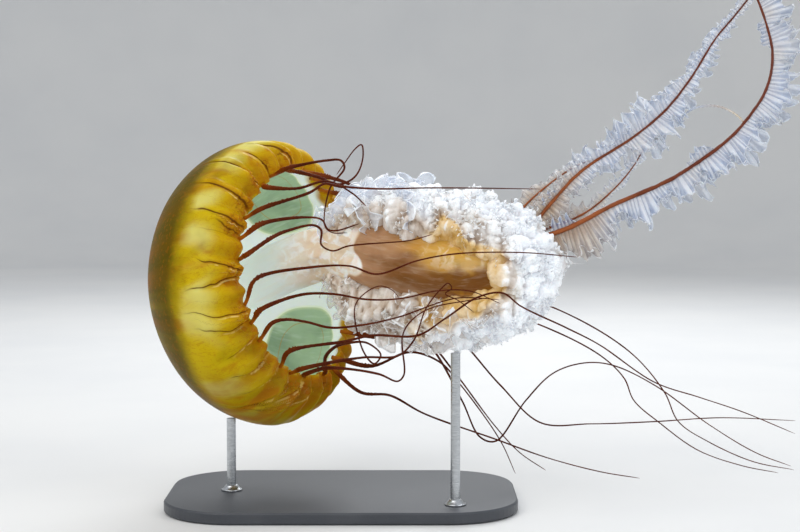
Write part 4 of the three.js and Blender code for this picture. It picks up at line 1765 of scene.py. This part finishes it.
@dataclass(frozen=True)
class TrailingArm:
    """A long arm beyond the bundle: a brown rib with frills along it."""

    number: int
    half: float
    tip: float
    via: tuple[Place, ...]
    rib_height: float
    rib_half: float
    frill_sides: tuple[tuple[float, float, float], ...]
    clump: float
    gaps: float
    seed: int
    side_ribs: tuple[SideRib, ...] = ()
    taper: float = 1.5
    tip_rounding: float = 14.0
    tufts: int = 12
    bulge: tuple[float, float, float] = (0.0, 1.0, 0.0)
    thinning: float = 1.0
    rib_buried: float = 20.0
    rib_around: int = 16

    def half_at(self, share: Array) -> Array:
        """Half of the arm's width at shares of its length."""
        narrowing = self.half + (self.tip - self.half) * share**self.taper
        return narrowing * np.sqrt(np.maximum(1 - share**self.tip_rounding, 0.02))

    def rib(self, made: Surface, route: Route, half: float, lift: float, patch: Patch) -> None:
        """Adds a rib, broad where it starts and thin at its end.

        Args:
            made: The surface that it goes to.
            route: Its line.
            half: Half of its thickness.
            lift: How far up it sits, as a share of the arm's half width.
            patch: Its place on the map.
        """
        lengths = np.linspace(-self.rib_buried, route.length - 1, int(route.length))
        at, angle = grid(lengths, turns(self.rib_around))
        share = np.clip(at / route.length, 0, 1)
        up, back = route.across(at)
        noise = Bumps(self.seed)
        size = half * (1.15 - 0.85 * share**0.8) * np.sqrt(np.maximum(1 - share**20, 0.002))
        wobble = 1 + 0.3 * noise.layered(route.at(at) + 3 * up * np.cos(angle)[..., None], 6.0, 2)
        centre = route.at(at) + up * (lift * self.half_at(share))[..., None]
        high = up * (size * wobble * np.cos(angle))[..., None]
        deep = back * (size * 1.35 * wobble * np.sin(angle))[..., None]
        made.add(centre + high - deep, patch, wrap=True, at=at)

    def long_frill(
        self, route: Route, side: tuple[float, float, float], lift: float, rng: np.random.Generator
    ) -> tuple[Array, Array, Array]:
        """One frill along a rib.

        Args:
            route: The rib's line.
            side: The way it stands, as up, back and its share of the arm's width.
            lift: How far up the rib sits, as a share of the arm's half width.
            rng: The source of chance.

        Returns:
            Its points, the share of the way to the edge for each row, and its crests.
        """
        at = np.arange(-6.0, route.length - 2, TRAIL_FRILL.step)[None, :]
        share = np.clip(at / route.length, 0, 1)
        up, back = route.across(at)
        half = self.half_at(share)
        base = route.at(at) + up * (lift * half)[..., None]
        rise = up * side[0] + back * side[1]
        phase = rng.uniform(0, math.pi)
        beat = math.pi * at / self.clump + 0.9 * np.sin(at / 27 + phase) + phase
        lobes = np.abs(np.sin(beat)) ** 0.55
        place, wide, extra = self.bulge
        more = 1 + extra * np.exp(-(((at - place) / wide) ** 2))
        height = side[2] * (half / self.half) ** self.thinning * more
        height = height * (1 - self.gaps + 1.25 * self.gaps * lobes)
        spots = np.stack([at, 0 * at + 40 * side[0], 0 * at + 40 * side[1]], -1)
        height = height * (1 + 0.45 * Bumps(self.seed + 9).at(spots, 15.0))
        height = np.clip(height, 0.02, None) * smooth(route.length - at, 0.0, 12.0)
        sheets, way, crests = TRAIL_FRILL.sheets(base, rise, height, rng)
        fan = -0.13 * self.clump * np.sin(2 * beat)[:, None] * way[:, None]
        fan = (fan * np.minimum(height, 1)[:, None])[..., None]
        return sheets + route.along(at)[:, None] * fan, way, crests

    def tuft_sheets(self, route: Route, rng: np.random.Generator) -> tuple[Array, ...]:
        """Short frills that stand on the other side of the rib.

        Args:
            route: The rib's line.
            rng: The source of chance.

        Returns:
            What `Ruffle.sheets` returns.
        """
        steps = int(30 / SMALL_FRILL.step)
        starts = np.linspace(6, route.length * 0.93, self.tufts) + rng.uniform(-8, 8, self.tufts)
        at = np.minimum(starts[:, None] + np.arange(steps) * SMALL_FRILL.step, route.length - 2)
        up, back = route.across(at)
        half = self.half_at(np.clip(at / route.length, 0, 1))
        lift = self.rib_height * half + self.rib_half * 0.6
        base = route.at(at) + up * lift[..., None]
        rise = up + back * rng.normal(0, 0.6, (self.tufts, 1, 1))
        height = ends_fade(steps, SMALL_FRILL.step, -1.0, 8.0)
        height = height * rng.uniform(0.4, 1.2, (self.tufts, 1))
        height = height * (half / self.half) ** self.thinning
        return SMALL_FRILL.sheets(base, rise, height, rng)

    def build(self, material: Material, rib_material: Material) -> None:
        """Makes the ribs and their frills.

        Args:
            material: The frills' finish.
            rib_material: The ribs' finish.
        """
        route = Route(self.via)
        rng = np.random.default_rng(self.seed)
        nodes = [f"arm_{self.number}_trail_{n}" for n in (1, 2, 3)]
        lines = [side.line(route) for side in self.side_ribs]
        ribs = Surface()
        bands = MapRows(1 + len(lines), 1)
        self.rib(ribs, route, self.rib_half, self.rib_height, bands.next())
        for line in lines:
            self.rib(ribs, line, self.rib_half * 0.75, 0.0, bands.next())
        show(ribs.build(f"arm_{self.number}_rib"), rib_material, nodes)
        made = Surface()
        sides = [(route, side, self.rib_height) for side in self.frill_sides]
        for line, way in product(lines, (1.0, -1.0)):
            sides.append((line, (way, 0.4 * way, 0.45 + 0.15 * way), 0.0))
        bands = MapRows(len(sides) + 3, 1)
        for line, side, lift in sides:
            folded = self.long_frill(line, side, lift, rng)
            near = 1 - smooth(np.linspace(0, line.length, folded[2].shape[1]), 20.0, 95.0)
            add_sheets(made, folded, near[None, :] * 0.9, MapRows(1, 1, bands.next()), 3)
        folded = self.tuft_sheets(route, rng)
        left, bottom, right, _ = bands.next()
        patches = MapRows(self.tufts, 6, (left, bottom, right, 1.0))
        add_sheets(made, folded, np.zeros(folded[2].shape), patches, 4)
        show(made.build(f"arm_{self.number}_trail_frill"), material, nodes)


@dataclass(frozen=True)
class ArchedStrand:
    """A thin torn strand that arches from one long arm to the other."""

    via: tuple[Place, ...] = (
        (287, -2, 330), (300, -12, 340), (318, -26, 341), (333, -36, 332), (341, -42, 319),
    )
    half: float = 0.6
    rows: int = 90
    around: int = 10

    def build(self, material: Material) -> None:
        """Makes the strand.

        Args:
            material: The frills' finish.
        """
        route = Route(self.via)
        at, angle = grid(np.linspace(0, route.length, self.rows), turns(self.around))
        up, back = route.across(at)
        size = self.half * (0.7 + 0.5 * np.sin(math.pi * at / route.length))
        size = size + 0.15 * np.sin(at * 1.7)
        high = up * (size * 1.3 * np.cos(angle))[..., None]
        made = Surface()
        deep = back * (size * 0.5 * np.sin(angle))[..., None]
        warm = 1.25 * smooth(at / route.length, 0.1, 0.8)
        like = 0.5 + 0 * at
        points = route.at(at) + high - deep
        made.add(points, wrap=True, edge=like, warm=warm, shade=like, crest=like)
        show(made.build("arched_strand"), material, [])


@dataclass(frozen=True)
class RibFinish:
    """Leathery flesh, tan near the bundle and dark red-brown further on."""

    name: str = "rib_look"
    ior: float = 1.3
    bump_depth: float = 0.0007

    def material(self) -> Material:
        """Builds the node material.

        Returns:
            The material.
        """
        shader = Shader(self.name)
        where = shader.position()
        grain = shader.noise(where, 700.0, 3.0)
        cloud = shader.noise(where, 60.0, 2.0)
        near = 1 - (shader.at_point("at") + (cloud - 0.5) * 40).step(30.0, 150.0)
        colour = shader.mix(near, Tone.RIB_BROWN, Tone.RIB_TAN)
        colour = shader.mix(cloud.step(0.45, 0.75) * 0.5, colour, Tone.MAROON)
        colour = shader.mix(grain.step(0.55, 0.8) * 0.35, colour, Tone.RIB_TAN)
        return shader.finish(
            base_color=colour,
            roughness=0.42 + (grain - 0.5) * 0.3,
            ior=self.ior,
            normal=shader.bump(grain + cloud, self.bump_depth, 0.6),
        )


TRAILS = (
    TrailingArm(
        number=1,
        half=13.0,
        tip=5.0,
        via=(
            (160, -50, 241), (177, -44, 261), (203, -32, 287), (249, -18, 316), (277, -8, 339),
            (300, 2, 367), (321, 12, 399), (342, 22, 423), (362, 30, 448), (384, 38, 478),
            (399, 44, 513), (405, 48, 548),
        ),
        rib_height=0.05,
        rib_half=1.35,
        frill_sides=((1.0, 0.35, 0.55), (1.0, -0.5, 0.5), (-1.0, 0.3, 0.65), (-1.0, -0.5, 0.5)),
        clump=27.0,
        gaps=0.78,
        seed=101,
        bulge=(138.0, 34.0, 1.15),
        side_ribs=(
            SideRib(-4, 88, (17.0, 14.0, 0.0)),
            SideRib(10, 135, (-12.0, -52.0, -4.0)),
        ),
        tufts=9,
        thinning=2.0,
    ),
    TrailingArm(
        number=2,
        half=15.0,
        tip=5.0,
        via=(
            (168, -57, 222), (192, -56, 230), (230, -58, 250), (280, -54, 273), (326, -46, 305),
            (346, -40, 326), (362, -34, 350), (369, -28, 375), (368, -22, 398), (352, -10, 446),
            (333, -6, 473), (308, -4, 499), (281, 0, 514),
        ),
        rib_height=0.72,
        rib_half=1.9,
        frill_sides=((-1.0, 0.0, 1.0), (-1.0, 0.35, 0.92), (-1.0, -0.35, 0.85)),
        clump=38.0,
        gaps=0.60,
        seed=102,
        tufts=4,
        thinning=0.4,
    ),
)


# ---- tentacles


# Each tentacle's notch, and the points that it passes in millimetres.
TENTACLE_ROUTES = (
    (0, ((-30, -34, 285), (-15, -40, 281), (-3, -42, 276), (8, -40, 279), (15, -36, 286),
        (19, -34, 299), (18, -36, 309), (13, -40, 306), (4, -42, 294), (-3, -39, 284))),
    (1, ((-42, -36, 290), (-11, -45, 296), (1, -48, 296), (4, -50, 290), (-8, -50, 273),
        (-12, -58, 242), (-6, -62, 237), (7, -68, 237))),
    (2, ((-63, -42, 274), (-35, -52, 273), (-10, -56, 279), (11, -60, 269), (22, -68, 259))),
    (4, ((-63, -66, 257), (-24, -64, 270), (-12, -61, 277), (1, -62, 275), (32, -66, 273),
        (69, -76, 274), (108, -80, 274), (165, -72, 273))),
    (5, ((-62, -76, 245), (-27, -74, 250), (-14, -72, 248), (-9, -70, 240), (-2, -70, 239),
        (17, -78, 245))),
    (6, ((-73, -83, 221), (-52, -86, 235), (-40, -86, 240), (-20, -84, 244), (-14, -82, 240),
        (-14, -80, 228), (-5, -80, 223), (8, -82, 227), (59, -104, 233), (76, -110, 238))),
    (8, ((-66, -88, 201), (-23, -88, 210), (9, -86, 211), (31, -94, 205), (64, -110, 217),
        (95, -118, 223), (144, -118, 224), (195, -84, 218))),
    (9, ((-62, -84, 176), (-29, -88, 188), (-4, -84, 188), (23, -88, 184), (51, -102, 186),
        (80, -112, 193), (106, -116, 193), (130, -116, 183))),
    (10, ((-54, -78, 164), (-43, -82, 167), (-27, -80, 165), (-7, -78, 160), (17, -80, 162),
        (48, -94, 170), (95, -111, 187), (129, -111, 186))),
    (12, ((-42, -58, 138), (5, -72, 148), (27, -82, 154), (64, -100, 156), (86, -114, 171),
        (112, -122, 189), (131, -120, 192), (146, -113, 181), (185, -90, 161), (214, -72, 145),
        (263, -50, 111), (302, -40, 97), (339, -34, 84), (386, -28, 64))),
    (13, ((-31, -44, 122), (-12, -50, 127), (20, -66, 134), (48, -80, 137), (61, -93, 151),
        (71, -117, 180), (82, -122, 195), (88, -124, 200), (91, -122, 196), (86, -117, 191),
        (96, -119, 186), (109, -116, 176))),
    (14, ((-30, -36, 116), (-14, -44, 122), (3, -52, 123), (33, -66, 120), (48, -72, 115),
        (53, -74, 120), (52, -97, 155), (60, -111, 170), (75, -119, 180), (119, -128, 189))),
    (16, ((-14, -8, 116), (-14, -12, 127), (-6, -22, 137), (8, -38, 143), (23, -50, 144),
        (34, -56, 135), (29, -60, 128), (20, -68, 139), (13, -82, 176), (21, -94, 189),
        (34, -102, 196), (44, -107, 193), (50, -108, 186))),
    (17, ((16, 24, 92), (41, 20, 90), (71, 20, 74), (134, 8, 53), (178, 2, 38), (223, -4, 27),
        (257, -8, 22))),
    (18, ((25, 50, 112), (59, 46, 125), (85, 40, 117), (103, 34, 98), (138, 20, 50),
        (151, 12, 22))),
    (20, ((41, 66, 134), (77, 62, 129), (97, 56, 108), (134, 42, 60), (156, 34, 37),
        (179, 28, 22))),
    (21, ((41, 82, 154), (77, 80, 127), (106, 72, 78), (122, 64, 46), (136, 58, 43), (162, 48, 81),
        (186, 40, 107), (212, 32, 117), (236, 26, 116), (273, 18, 99), (319, 8, 66), (358, 0, 43),
        (388, -6, 32))),
    (22, ((50, 92, 167), (96, 90, 140), (141, 80, 91), (177, 70, 58), (221, 56, 59), (277, 44, 63),
        (333, 34, 68), (398, 24, 67))),
    (24, ((50, 98, 185), (105, 96, 167), (178, 86, 145), (231, 72, 119), (252, 64, 99),
        (260, 58, 80), (282, 50, 61), (315, 40, 38), (352, 30, 26), (383, 22, 21))),
    (25, ((50, 100, 202), (114, 100, 183), (196, 92, 158), (259, 80, 121), (289, 70, 86),
        (301, 62, 60), (327, 54, 43), (365, 44, 27), (400, 36, 21))),
    (26, ((50, 98, 217), (105, 104, 212), (160, 104, 201), (197, 100, 185))),
    (28, ((22, 78, 258), (68, 94, 247), (123, 100, 236), (169, 98, 220))),
    (29, ((14, 76, 267), (50, 86, 257), (96, 92, 248), (141, 92, 239))),
    (30, ((1, 50, 276), (25, 62, 263), (59, 74, 254), (86, 80, 247))),
)


@dataclass(frozen=True)
class Tentacles:
    """Twenty-four tentacles: crinkled ribbons at the root, threads further on."""

    bell: Bell = Bell()
    tip_half: float = 0.4
    thread_half: float = 0.62
    root_swell: float = 1.65
    neck: float = 16.0
    root_taper: float = 40.0
    sides: int = 12
    step: float = 1.1
    buried: float = 7.0
    seed: int = 200

    def one(self, number: int, notch: int, via: Sequence[Sequence[float]]) -> Surface:
        """The surface of one tentacle.

        Args:
            number: Its place in the order.
            notch: The notch that it leaves from.
            via: The points that it passes.

        Returns:
            The surface, with the length from the root at its points.
        """
        route = Route([self.bell.root(notch), *via])
        rng = np.random.default_rng(self.seed + number)
        count = int((route.length + self.buried) / self.step)
        lengths = np.linspace(-self.buried, route.length, count)
        at, angle = grid(lengths, turns(self.sides))
        far = np.maximum(at, 0)
        half = self.tip_half + self.thread_half * (1 - far / route.length)
        ribbon = np.exp(-far / self.root_taper) * (0.35 + 0.65 * smooth(far, 0.0, self.neck))
        half = half + self.root_swell * rng.uniform(0.7, 1.1) * ribbon
        grain = np.cumsum(rng.normal(0, 0.5, count)) * 0.12
        frill = 0.5 + 0.5 * np.sin(lengths * 2.3 + 3 * np.sin(lengths * 0.31 + number) + grain)
        patches = np.sin(lengths * 0.16 + 2.3 * number) + 0.5 * np.sin(lengths * 0.43 + number)
        patchy = smooth(patches, 0.0, 1.1)
        one_side = np.maximum(np.cos(angle), 0) ** 3 + 0.3 * np.maximum(-np.cos(angle), 0) ** 3
        torn = ((0.08 + 0.60 * patchy) * frill)[:, None]
        ragged = 1 + torn * smooth(ribbon, 0.12, 0.5) * one_side
        twist = 0.5 * np.sin(lengths / 23.0 + number) + 0.25 * np.sin(lengths / 9.0)
        twist = twist[:, None] * smooth(far, 4.0, 30.0)
        thin = half * (0.62 - 0.26 * smooth(ribbon, 0.2, 0.8))
        high = half * ragged * np.cos(angle)
        crinkle = 0.25 * ribbon * half * np.sin(at * 1.3 + number)
        deep = thin * np.sin(angle) + crinkle * np.cos(angle) ** 2
        end = np.sqrt(np.maximum(1 - (far / route.length) ** 60, 0.01))
        up, back = route.across(at)
        turned = up * np.cos(twist)[..., None] + back * np.sin(twist)[..., None]
        other = back * np.cos(twist)[..., None] - up * np.sin(twist)[..., None]
        points = route.at(at) + turned * (high * end)[..., None] - other * (deep * end)[..., None]
        made = Surface()
        made.add(points, wrap=True, at=at, rim=np.abs(np.cos(angle)))
        return made

    def build(self) -> None:
        """Makes each tentacle and ties it to its solids."""
        material = TentacleFinish().material()
        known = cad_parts
        for number, (notch, via) in enumerate(TENTACLE_ROUTES, 1):
            name = f"tentacle_{number:02d}"
            nodes = [f"{name}_{part}" for part in "abc" if f"{name}_{part}" in known]
            show(self.one(number, notch, via).build(name), material, nodes)


@dataclass(frozen=True)
class TentacleFinish:
    """Wet maroon skin with a beaded grain, amber where it leaves the margin."""

    name: str = "tentacle_look"
    ior: float = 1.18
    bump_depth: float = 0.0005

    def material(self) -> Material:
        """Builds the node material.

        Returns:
            The material.
        """
        shader = Shader(self.name)
        where = shader.position()
        at = shader.at_point("at")
        beads = shader.noise(where, 900.0, 2.0)
        cloud = shader.noise(where, 70.0, 2.0)
        colour = shader.mix(cloud.step(0.4, 0.7) * 0.4, Tone.MAROON, Tone.RIB_BROWN)
        colour = shader.mix(beads.step(0.5, 0.75) * 0.22, colour, Tone.ORANGE_BROWN)
        colour = shader.mix((1 - at.step(4.0, 34.0)) * (0.35 + cloud * 0.5), colour, Tone.RUST)
        colour = shader.mix((1 - at.step(-2.0, 9.0)) * 0.9, colour, Tone.ROOT_AMBER)
        edge = shader.at_point("rim").step(0.75, 1.0) * (1 - at.step(20.0, 60.0)) * 0.45
        colour = shader.mix(edge, colour, Tone.ORANGE_BROWN)
        return shader.finish(
            base_color=colour,
            roughness=0.40 + (beads - 0.5) * 0.3,
            ior=self.ior,
            normal=shader.bump(beads, self.bump_depth, 0.7),
        )


# ---- stand


@dataclass(frozen=True)
class Stand:
    """The plain display stand: its plate and rods keep their solids, and collars are added."""

    plate_top: float = 10.0
    rod_radius: float = 4.0
    collar_radius: float = 9.0
    collar_height: float = 5.0
    around: int = 64
    rods: tuple[tuple[str, float, float], ...] = (("bell", -96.0, 0.0), ("arms", 96.0, -62.0))

    def turned(self, profile: Sequence[tuple[float, float]], x: float, y: float) -> Surface:
        """A turned piece.

        Args:
            profile: Its outline, as radii and heights.
            x: Where its axis stands.
            y: Where its axis stands.

        Returns:
            Its surface.
        """
        outline = np.array(profile)
        angle = turns(self.around)
        radius, height = outline[:, :1], outline[:, 1:]
        points = np.stack(
            [x + radius * np.cos(angle), y + radius * np.sin(angle), height + 0 * angle], -1
        )
        made = Surface()
        made.add(points, wrap=True)
        return made

    def collar(self, name: str, x: float, y: float) -> bpy.types.Object:
        """The turned ring where a rod enters the plate.

        Args:
            name: The rod's name.
            x: Where the rod stands.
            y: Where the rod stands.

        Returns:
            The new object.
        """
        top = self.plate_top + self.collar_height
        wide, inner = self.collar_radius, self.rod_radius + 0.15
        profile = [
            (inner, self.plate_top + 0.05),
            (wide, self.plate_top + 0.05),
            (wide, self.plate_top + 1.2),
            (wide - 0.3, self.plate_top + 1.5),
            (wide - 1.6, self.plate_top + 1.8),
            (inner + 1.4, top - 0.6),
            (inner + 1.0, top),
            (inner, top),
        ]
        return self.turned(profile, x, y).build(f"stand_collar_{name}")

    def build(self) -> None:
        """Dresses the plate and rods and adds the turned pieces."""
        steel = SteelFinish().material()
        paint = PaintFinish().material()
        for node, material in (
            ("stand_plate", paint),
            ("stand_rod_bell", steel),
            ("stand_rod_arms", steel),
        ):
            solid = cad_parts[node]
            solid.data.materials.clear()
            solid.data.materials.append(material)
            LOG.info("%s: dressed", node)
        for name, x, y in self.rods:
            show(self.collar(name, x, y), steel, [])


@dataclass(frozen=True)
class PaintFinish:
    """Dark powder-coated steel, with a fine orange-peel texture."""

    name: str = "stand_paint_look"
    roughness: float = 0.42
    bump_depth: float = 0.0003

    def material(self) -> Material:
        """Builds the node material.

        Returns:
            The material.
        """
        shader = Shader(self.name)
        where = shader.position()
        peel = shader.noise(where, 900.0, 2.0)
        cloud = shader.noise(where, 18.0, 3.0)
        light = cloud.step(0.35, 0.75) * 0.5 + peel.step(0.5, 0.8) * 0.25
        return shader.finish(
            base_color=shader.mix(light, Tone.SLATE, Tone.SLATE_LIGHT),
            roughness=self.roughness + (cloud - 0.5) * 0.12 + (peel - 0.5) * 0.1,
            normal=shader.bump(peel, self.bump_depth, 0.35),
        )


@dataclass(frozen=True)
class SteelFinish:
    """Brushed steel, with fine rings round the rods."""

    name: str = "stand_steel_look"
    roughness: float = 0.28
    squash: Place = (1.0, 1.0, 30.0)
    bump_depth: float = 0.0002

    def material(self) -> Material:
        """Builds the node material.

        Returns:
            The material.
        """
        shader = Shader(self.name)
        settings = {"operation": "MULTIPLY"}
        sockets = {0: shader.position(), 1: self.squash}
        squashed = shader.node("ShaderNodeVectorMath", settings, sockets).outputs[0]
        rings = shader.noise(squashed, 160.0, 3.0)
        cloud = shader.noise(shader.position(), 40.0, 2.0)
        return shader.finish(
            base_color=shader.mix(rings.step(0.35, 0.7), Tone.STEEL, Tone.STEEL_DARK),
            metallic=1.0,
            roughness=self.roughness + (rings - 0.5) * 0.16 + (cloud - 0.5) * 0.1,
            normal=shader.bump(rings, self.bump_depth, 0.3),
        )


# ---- studio


@dataclass(frozen=True)
class Studio:
    """A pale round sweep, soft lights and the camera."""

    sweep_radius: float = 4.2
    sweep_curve: float = 1.2
    sweep_height: float = 3.0
    around: int = 96
    rows: int = 14
    target: Place = (0.050, 0.0, 0.205)
    distance: float = 1.5
    elevation: float = math.radians(4)
    lens: float = 78.49
    sensor: float = 36.0
    sink: float = 0.0004
    middle: Place = (0.05, -0.02, 0.22)
    sky: tuple[float, ...] = (0.92, 0.95, 1.0, 1.0)
    sky_strength: float = 0.66

    def sweep(self) -> None:
        """The floor, which curves up into a wall all round."""
        flat_radius = self.sweep_radius - self.sweep_curve
        flat = [(radius, 0.0) for radius in np.linspace(0.01, flat_radius, self.rows)]
        bend = [
            (
                self.sweep_radius - self.sweep_curve * (1 - math.sin(t)),
                self.sweep_curve * (1 - math.cos(t)),
            )
            for t in np.linspace(0.1, QUARTER, self.rows)
        ]
        profile = np.array([*flat, *bend, (self.sweep_radius, self.sweep_height)])
        angle = turns(self.around)
        radius, height = profile[:, :1], profile[:, 1:] - self.sink
        points = np.stack([radius * np.cos(angle), radius * np.sin(angle), height + 0 * angle], -1)
        made = Surface()
        made.add(points / MM, wrap=True)
        floor = made.build("floor_sweep")
        shader = Shader("floor_look")
        cloud = shader.noise(shader.position(), 3.0, 3.0)
        colour = shader.mix(cloud.step(0.3, 0.8), Tone.FLOOR, Tone.FLOOR_SHADE)
        floor.data.materials.append(
            shader.finish(base_color=colour, roughness=0.85 + (cloud - 0.5) * 0.08)
        )
        floor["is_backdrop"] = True

    def light(self, name: str, where: Place, size: float, power: float, tint: Colour) -> None:
        """One soft square light that faces the middle of the model.

        Args:
            name: Its name.
            where: Its place in metres.
            size: The length of its side.
            power: Its power in watts.
            tint: Its colour.
        """
        lamp = bpy.data.lights.new(name, "AREA")
        lamp.shape = "SQUARE"
        lamp.size = size
        lamp.energy = power
        lamp.color = tint
        holder = bpy.data.objects.new(name, lamp)
        bpy.context.scene.collection.objects.link(holder)
        holder.location = where
        toward = Vector(self.middle) - Vector(where)
        holder.rotation_euler = toward.to_track_quat("-Z", "Y").to_euler()
        holder.visible_camera = False

    def camera(self) -> None:
        """The camera, level and a little above the target."""
        data = bpy.data.cameras.new("camera")
        data.lens = self.lens
        data.sensor_width = self.sensor
        data.clip_end = 50.0
        holder = bpy.data.objects.new("camera", data)
        bpy.context.scene.collection.objects.link(holder)
        back = self.distance * math.cos(self.elevation)
        rise = self.distance * math.sin(self.elevation)
        holder.location = (self.target[0], self.target[1] - back, self.target[2] + rise)
        holder.rotation_euler = (QUARTER - self.elevation, 0.0, 0.0)
        bpy.context.scene.camera = holder

    def build(self) -> None:
        """Sets up the whole studio."""
        self.camera()
        self.sweep()
        world = bpy.data.worlds.new("soft_room")
        world.use_nodes = True
        background = world.node_tree.nodes["Background"].inputs
        background["Color"].default_value = self.sky
        background["Strength"].default_value = self.sky_strength
        bpy.context.scene.world = world
        bpy.context.scene.view_settings.view_transform = "Standard"
        self.light("key_light", (-0.9, -1.3, 1.7), 1.8, 24.0, (1.0, 0.98, 0.95))
        self.light("fill_light", (1.5, -1.1, 0.9), 1.2, 8.0, (0.93, 0.96, 1.0))
        self.light("back_light", (0.3, 1.5, 1.5), 1.1, 20.0, (0.96, 0.98, 1.0))
        LOG.info("studio ready")


def main() -> None:
    """Builds the model piece by piece."""
    logging.basicConfig(level=logging.INFO, format="%(name)s %(message)s")
    Studio().build()
    Bell().build()
    Trunk().build()
    Bundle().build()
    LooseFrills().build()
    frill = FrillFinish(
        "trail_frill_look", blue=1.0, alpha_low=0.45, glow=0.04, cream=0.30, rim_start=0.86,
    ).material()
    rib = RibFinish().material()
    for arm in TRAILS:
        arm.build(frill, rib)
    ArchedStrand().build(frill)
    Tentacles().build()
    Stand().build()
    boxes = {"cad": CAD_BOX, "visual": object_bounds()}
    plain = {key: [[float(x) for x in corner] for corner in box] for key, box in boxes.items()}


if __name__ == "__main__":
    main()
